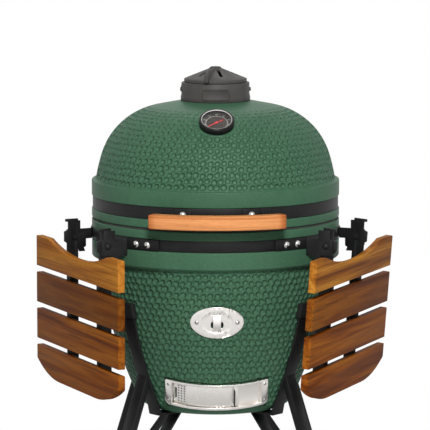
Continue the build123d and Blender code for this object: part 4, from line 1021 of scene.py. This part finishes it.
def gauge_case_piece():
    """Bezel cup with a rolled lip, and the stem that reaches into the lid."""
    back, back_edge, floor, lip_under = 0.0003, 0.0012, 0.0028, 0.0129
    cup_inside, lip_inside = 0.0340, 0.0310
    stem_radius, stem_length = 0.0040, 0.095
    stem = [
        (0.0, back - stem_length),
        (0.0034, back - stem_length),
        (stem_radius, back_edge - stem_length),
        (stem_radius, back),
    ]
    cup = [(0.0362, back), (gauge_radius, back_edge), (gauge_radius, 0.0112)]
    lip = [(0.0364, 0.0130), (0.0352, 0.0142), (0.0338, 0.0145), (0.0322, 0.0142), (lip_inside, 0.0132)]
    hollow = [(lip_inside, lip_under), (cup_inside, lip_under), (cup_inside, floor), (0.0, floor)]
    shape = spun_profile(stem + cup + lip + hollow, 72, gauge_frame, closed=False)
    return finish_piece("thermometer_bezel", shape, gauge_black, ["thermometer_case"], smooth=50.0)


def flat_digits(text, size, thickness):
    """Mesh of a plain number, centred on the origin."""
    curve = bpy.data.curves.new("digits", "FONT")
    curve.body = text
    curve.size = size
    curve.align_x = "CENTER"
    curve.align_y = "CENTER"
    curve.extrude = thickness / 2
    holder = bpy.data.objects.new("digits", curve)
    bpy.context.scene.collection.objects.link(holder)
    view = bpy.context.evaluated_depsgraph_get()
    mesh = bpy.data.meshes.new_from_object(holder.evaluated_get(view))
    bpy.data.objects.remove(holder)
    bpy.data.curves.remove(curve)
    return mesh


def gauge_dial_piece():
    """Dark dial plate."""
    back, front = 0.0031, 0.0041
    outline = [(0.0, back), (dial_radius, back), (dial_radius, front), (0.0, front)]
    shape = spun_profile(outline, 64, gauge_frame, closed=False)
    return finish_piece("thermometer_dial_plate", shape, gauge_dial, ["thermometer_dial"])


def gauge_scale_piece():
    """White ring, marks and plain numbers on the dial."""
    ring_inside, ring_outside, number_radius, number_size = 0.0218, 0.0226, 0.0281, 0.0044
    low, high = scale_heights
    middle, thickness = 0.00418, 0.00012
    ring = [(ring_inside, low), (ring_outside, low), (ring_outside, high), (ring_inside, high)]
    shape = spun_profile(ring, 96, gauge_frame)
    sweep_half, marks, per_number, number_step = math.radians(135.0), 40, 5, 50
    for mark in range(marks + 1):
        turn = Matrix.Rotation(sweep_half - 2 * sweep_half * mark / marks, 4, "Z")
        major = mark % per_number == 0
        length, width = (0.0030, 0.0010) if major else (0.0018, 0.0005)
        place = Matrix.Translation((0.0, ring_outside + length / 2, middle))
        stretch = Matrix.Diagonal((width, length, thickness, 1.0))
        bmesh.ops.create_cube(shape, size=1.0, matrix=gauge_frame @ turn @ place @ stretch)
        if major:
            digits = flat_digits(str(number_step * mark // per_number), number_size, thickness)
            around = turn @ Matrix.Translation((0.0, number_radius, middle)) @ turn.inverted()
            digits.transform(gauge_frame @ around)
            shape.from_mesh(digits)
            bpy.data.meshes.remove(digits)
    return finish_piece("thermometer_scale", shape, gauge_white, body=body_of("thermometer_dial"))


def gauge_glass_piece():
    """Slightly domed clear cover."""
    back, edge, top = 0.0111, 0.0121, 0.0126
    dome = [(dial_radius, edge), (0.0300, 0.0124), (0.0150, top), (0.0, top)]
    outline = [(0.0, back), (dial_radius, back)] + dome
    shape = spun_profile(outline, 64, gauge_frame, closed=False)
    return finish_piece("thermometer_cover", shape, gauge_glass, ["thermometer_glass"])


def gauge_trim_piece():
    """Pale ring round the inner edge of the bezel's lip."""
    outline = [(0.0309, 0.0131), (0.0324, 0.0144), (0.0322, 0.0147), (0.0306, 0.0134)]
    shape = spun_profile(outline, 72, gauge_frame)
    return finish_piece("thermometer_trim", shape, gauge_white, body=body_of("thermometer_case"))


def gauge_needle_piece():
    shape = softened_copy("thermometer_needle", 0.0)
    return finish_piece("thermometer_pointer", shape, gauge_red, ["thermometer_needle"])


gauge_case_piece()
gauge_trim_piece()
gauge_dial_piece()
gauge_scale_piece()
gauge_glass_piece()
gauge_needle_piece()


# Small screws in the corners of the air intake's end plates

def domed_head(radius, height, matrix):
    """Domed screw head with a shallow edge."""
    edge, arcs = 0.25 * height, 5
    outline = [(radius, 0.0), (radius, edge)]
    for index in range(1, arcs):
        angle = math.pi / 2 * index / arcs
        outline.append((radius * math.cos(angle), edge + (height - edge) * math.sin(angle)))
    outline += [(0.0, height), (0.0, 0.0)]
    return spun_profile(outline, 20, matrix, closed=False)


def intake_screws_piece():
    head_radius, head_height = 0.0034, 0.0019
    screw_angle, screw_height = math.radians(31.9), 0.0185
    shape = bmesh.new()
    for azimuth in (-screw_angle, screw_angle):
        out = draft_point(1.0, azimuth, 0.0) - draft_origin
        facing = out.to_track_quat("Z", "Y").to_matrix().to_4x4()
        for height in (-screw_height, screw_height):
            place = draft_point(draft_face - draft_clearance, azimuth, height)
            head = domed_head(head_radius, head_height, Matrix.Translation(place) @ facing)
            mesh = bpy.data.meshes.new("screw")
            head.to_mesh(mesh)
            head.free()
            shape.from_mesh(mesh)
            bpy.data.meshes.remove(mesh)
    return finish_piece("air_intake_screws", shape, chrome, body=body_of("draft_frame"))


intake_screws_piece()


# Floor, light and camera

def either_ray(nodes, links):
    """1 for the rays that see the studio itself, straight, mirrored or through glass."""
    path = nodes.new("ShaderNodeLightPath")
    seen = path.outputs["Is Camera Ray"]
    for ray in ("Is Glossy Ray", "Is Transmission Ray"):
        either = nodes.new("ShaderNodeMath")
        either.operation = "MAXIMUM"
        links.new(seen, either.inputs[0])
        links.new(path.outputs[ray], either.inputs[1])
        seen = either.outputs[0]
    return seen


def floor_finish():
    """Pale floor that turns into plain white a few metres from the grill."""
    finish = Finish("pale_floor", Roughness=0.9)
    near, far = 1.0, 1.8
    place = finish.place()
    cloud = finish.noise(place, scale=3.0, detail=3.0)
    finish.paint(Base_Color=finish.ramp(cloud, (0.3, grey(0.80)), (0.7, grey(0.83))))
    away = finish.add("ShaderNodeVectorMath", {0: place}, operation="LENGTH").outputs["Value"]
    faded = finish.level(away, low=0.0, high=1.0, start=near, end=far)
    seen = either_ray(finish.nodes, finish.links)
    share = finish.add("ShaderNodeMath", {0: seen, 1: faded}, operation="MULTIPLY").outputs[0]
    white = finish.add("ShaderNodeEmission", {"Color": grey(1.0), "Strength": 1.0}).outputs[0]
    mixed = finish.add("ShaderNodeMixShader", {0: share, 1: finish.shader.outputs[0], 2: white}).outputs[0]
    finish.links.new(mixed, finish.nodes["Material Output"].inputs["Surface"])
    return finish


def studio_floor():
    floor_radius = 60.0
    shape = bmesh.new()
    bmesh.ops.create_circle(shape, cap_ends=True, segments=96, radius=floor_radius)
    mesh = bpy.data.meshes.new("studio_floor")
    shape.to_mesh(mesh)
    shape.free()
    mesh.materials.append(floor_finish().material)
    floor = bpy.data.objects.new("studio_floor", mesh)
    bpy.context.scene.collection.objects.link(floor)


def softbox(name, place, size, power):
    """Square lamp that faces the middle of the grill."""
    middle = Vector((0.0, 0.0, 0.80))
    lamp = bpy.data.lights.new(name, "AREA")
    lamp.size = size
    lamp.energy = power
    holder = bpy.data.objects.new(name, lamp)
    holder.location = place
    holder.rotation_euler = (middle - Vector(place)).to_track_quat("-Z", "Y").to_euler()
    bpy.context.scene.collection.objects.link(holder)


def studio_air():
    """White surroundings that light the grill only faintly."""
    ambient, white = 0.12, 1.0
    world = bpy.data.worlds.new("studio_air")
    bpy.context.scene.world = world
    world.use_nodes = True
    nodes, links = world.node_tree.nodes, world.node_tree.links
    strength = nodes.new("ShaderNodeMapRange")
    strength.inputs["To Min"].default_value = ambient
    strength.inputs["To Max"].default_value = white
    links.new(either_ray(nodes, links), strength.inputs["Value"])
    links.new(strength.outputs["Result"], nodes["Background"].inputs["Strength"])
    nodes["Background"].inputs["Color"].default_value = grey(1.0)


def photo_camera():
    """Long lens a little above the lid, nearly straight on."""
    turn, tilt = math.radians(-0.8), math.radians(90.0 - 7.26)
    distance, aside, height = 6.6, -0.001, 1.68
    lens = bpy.data.cameras.new("photo_camera")
    lens.sensor_width = 36.0
    lens.lens = 259.5
    lens.clip_end = 200.0
    camera = bpy.data.objects.new("photo_camera", lens)
    camera.location = (distance * math.sin(turn) + aside, -distance * math.cos(turn), height)
    camera.rotation_euler = (tilt, 0.0, turn)
    bpy.context.scene.collection.objects.link(camera)
    bpy.context.scene.camera = camera


studio_floor()
softbox("key_softbox", place=(0.2, -4.0, 3.4), size=0.8, power=208.0)
softbox("rear_softbox", place=(0.0, 2.6, 4.0), size=1.6, power=24.0)
studio_air()
photo_camera()
bpy.context.scene.view_settings.view_transform = "Standard"
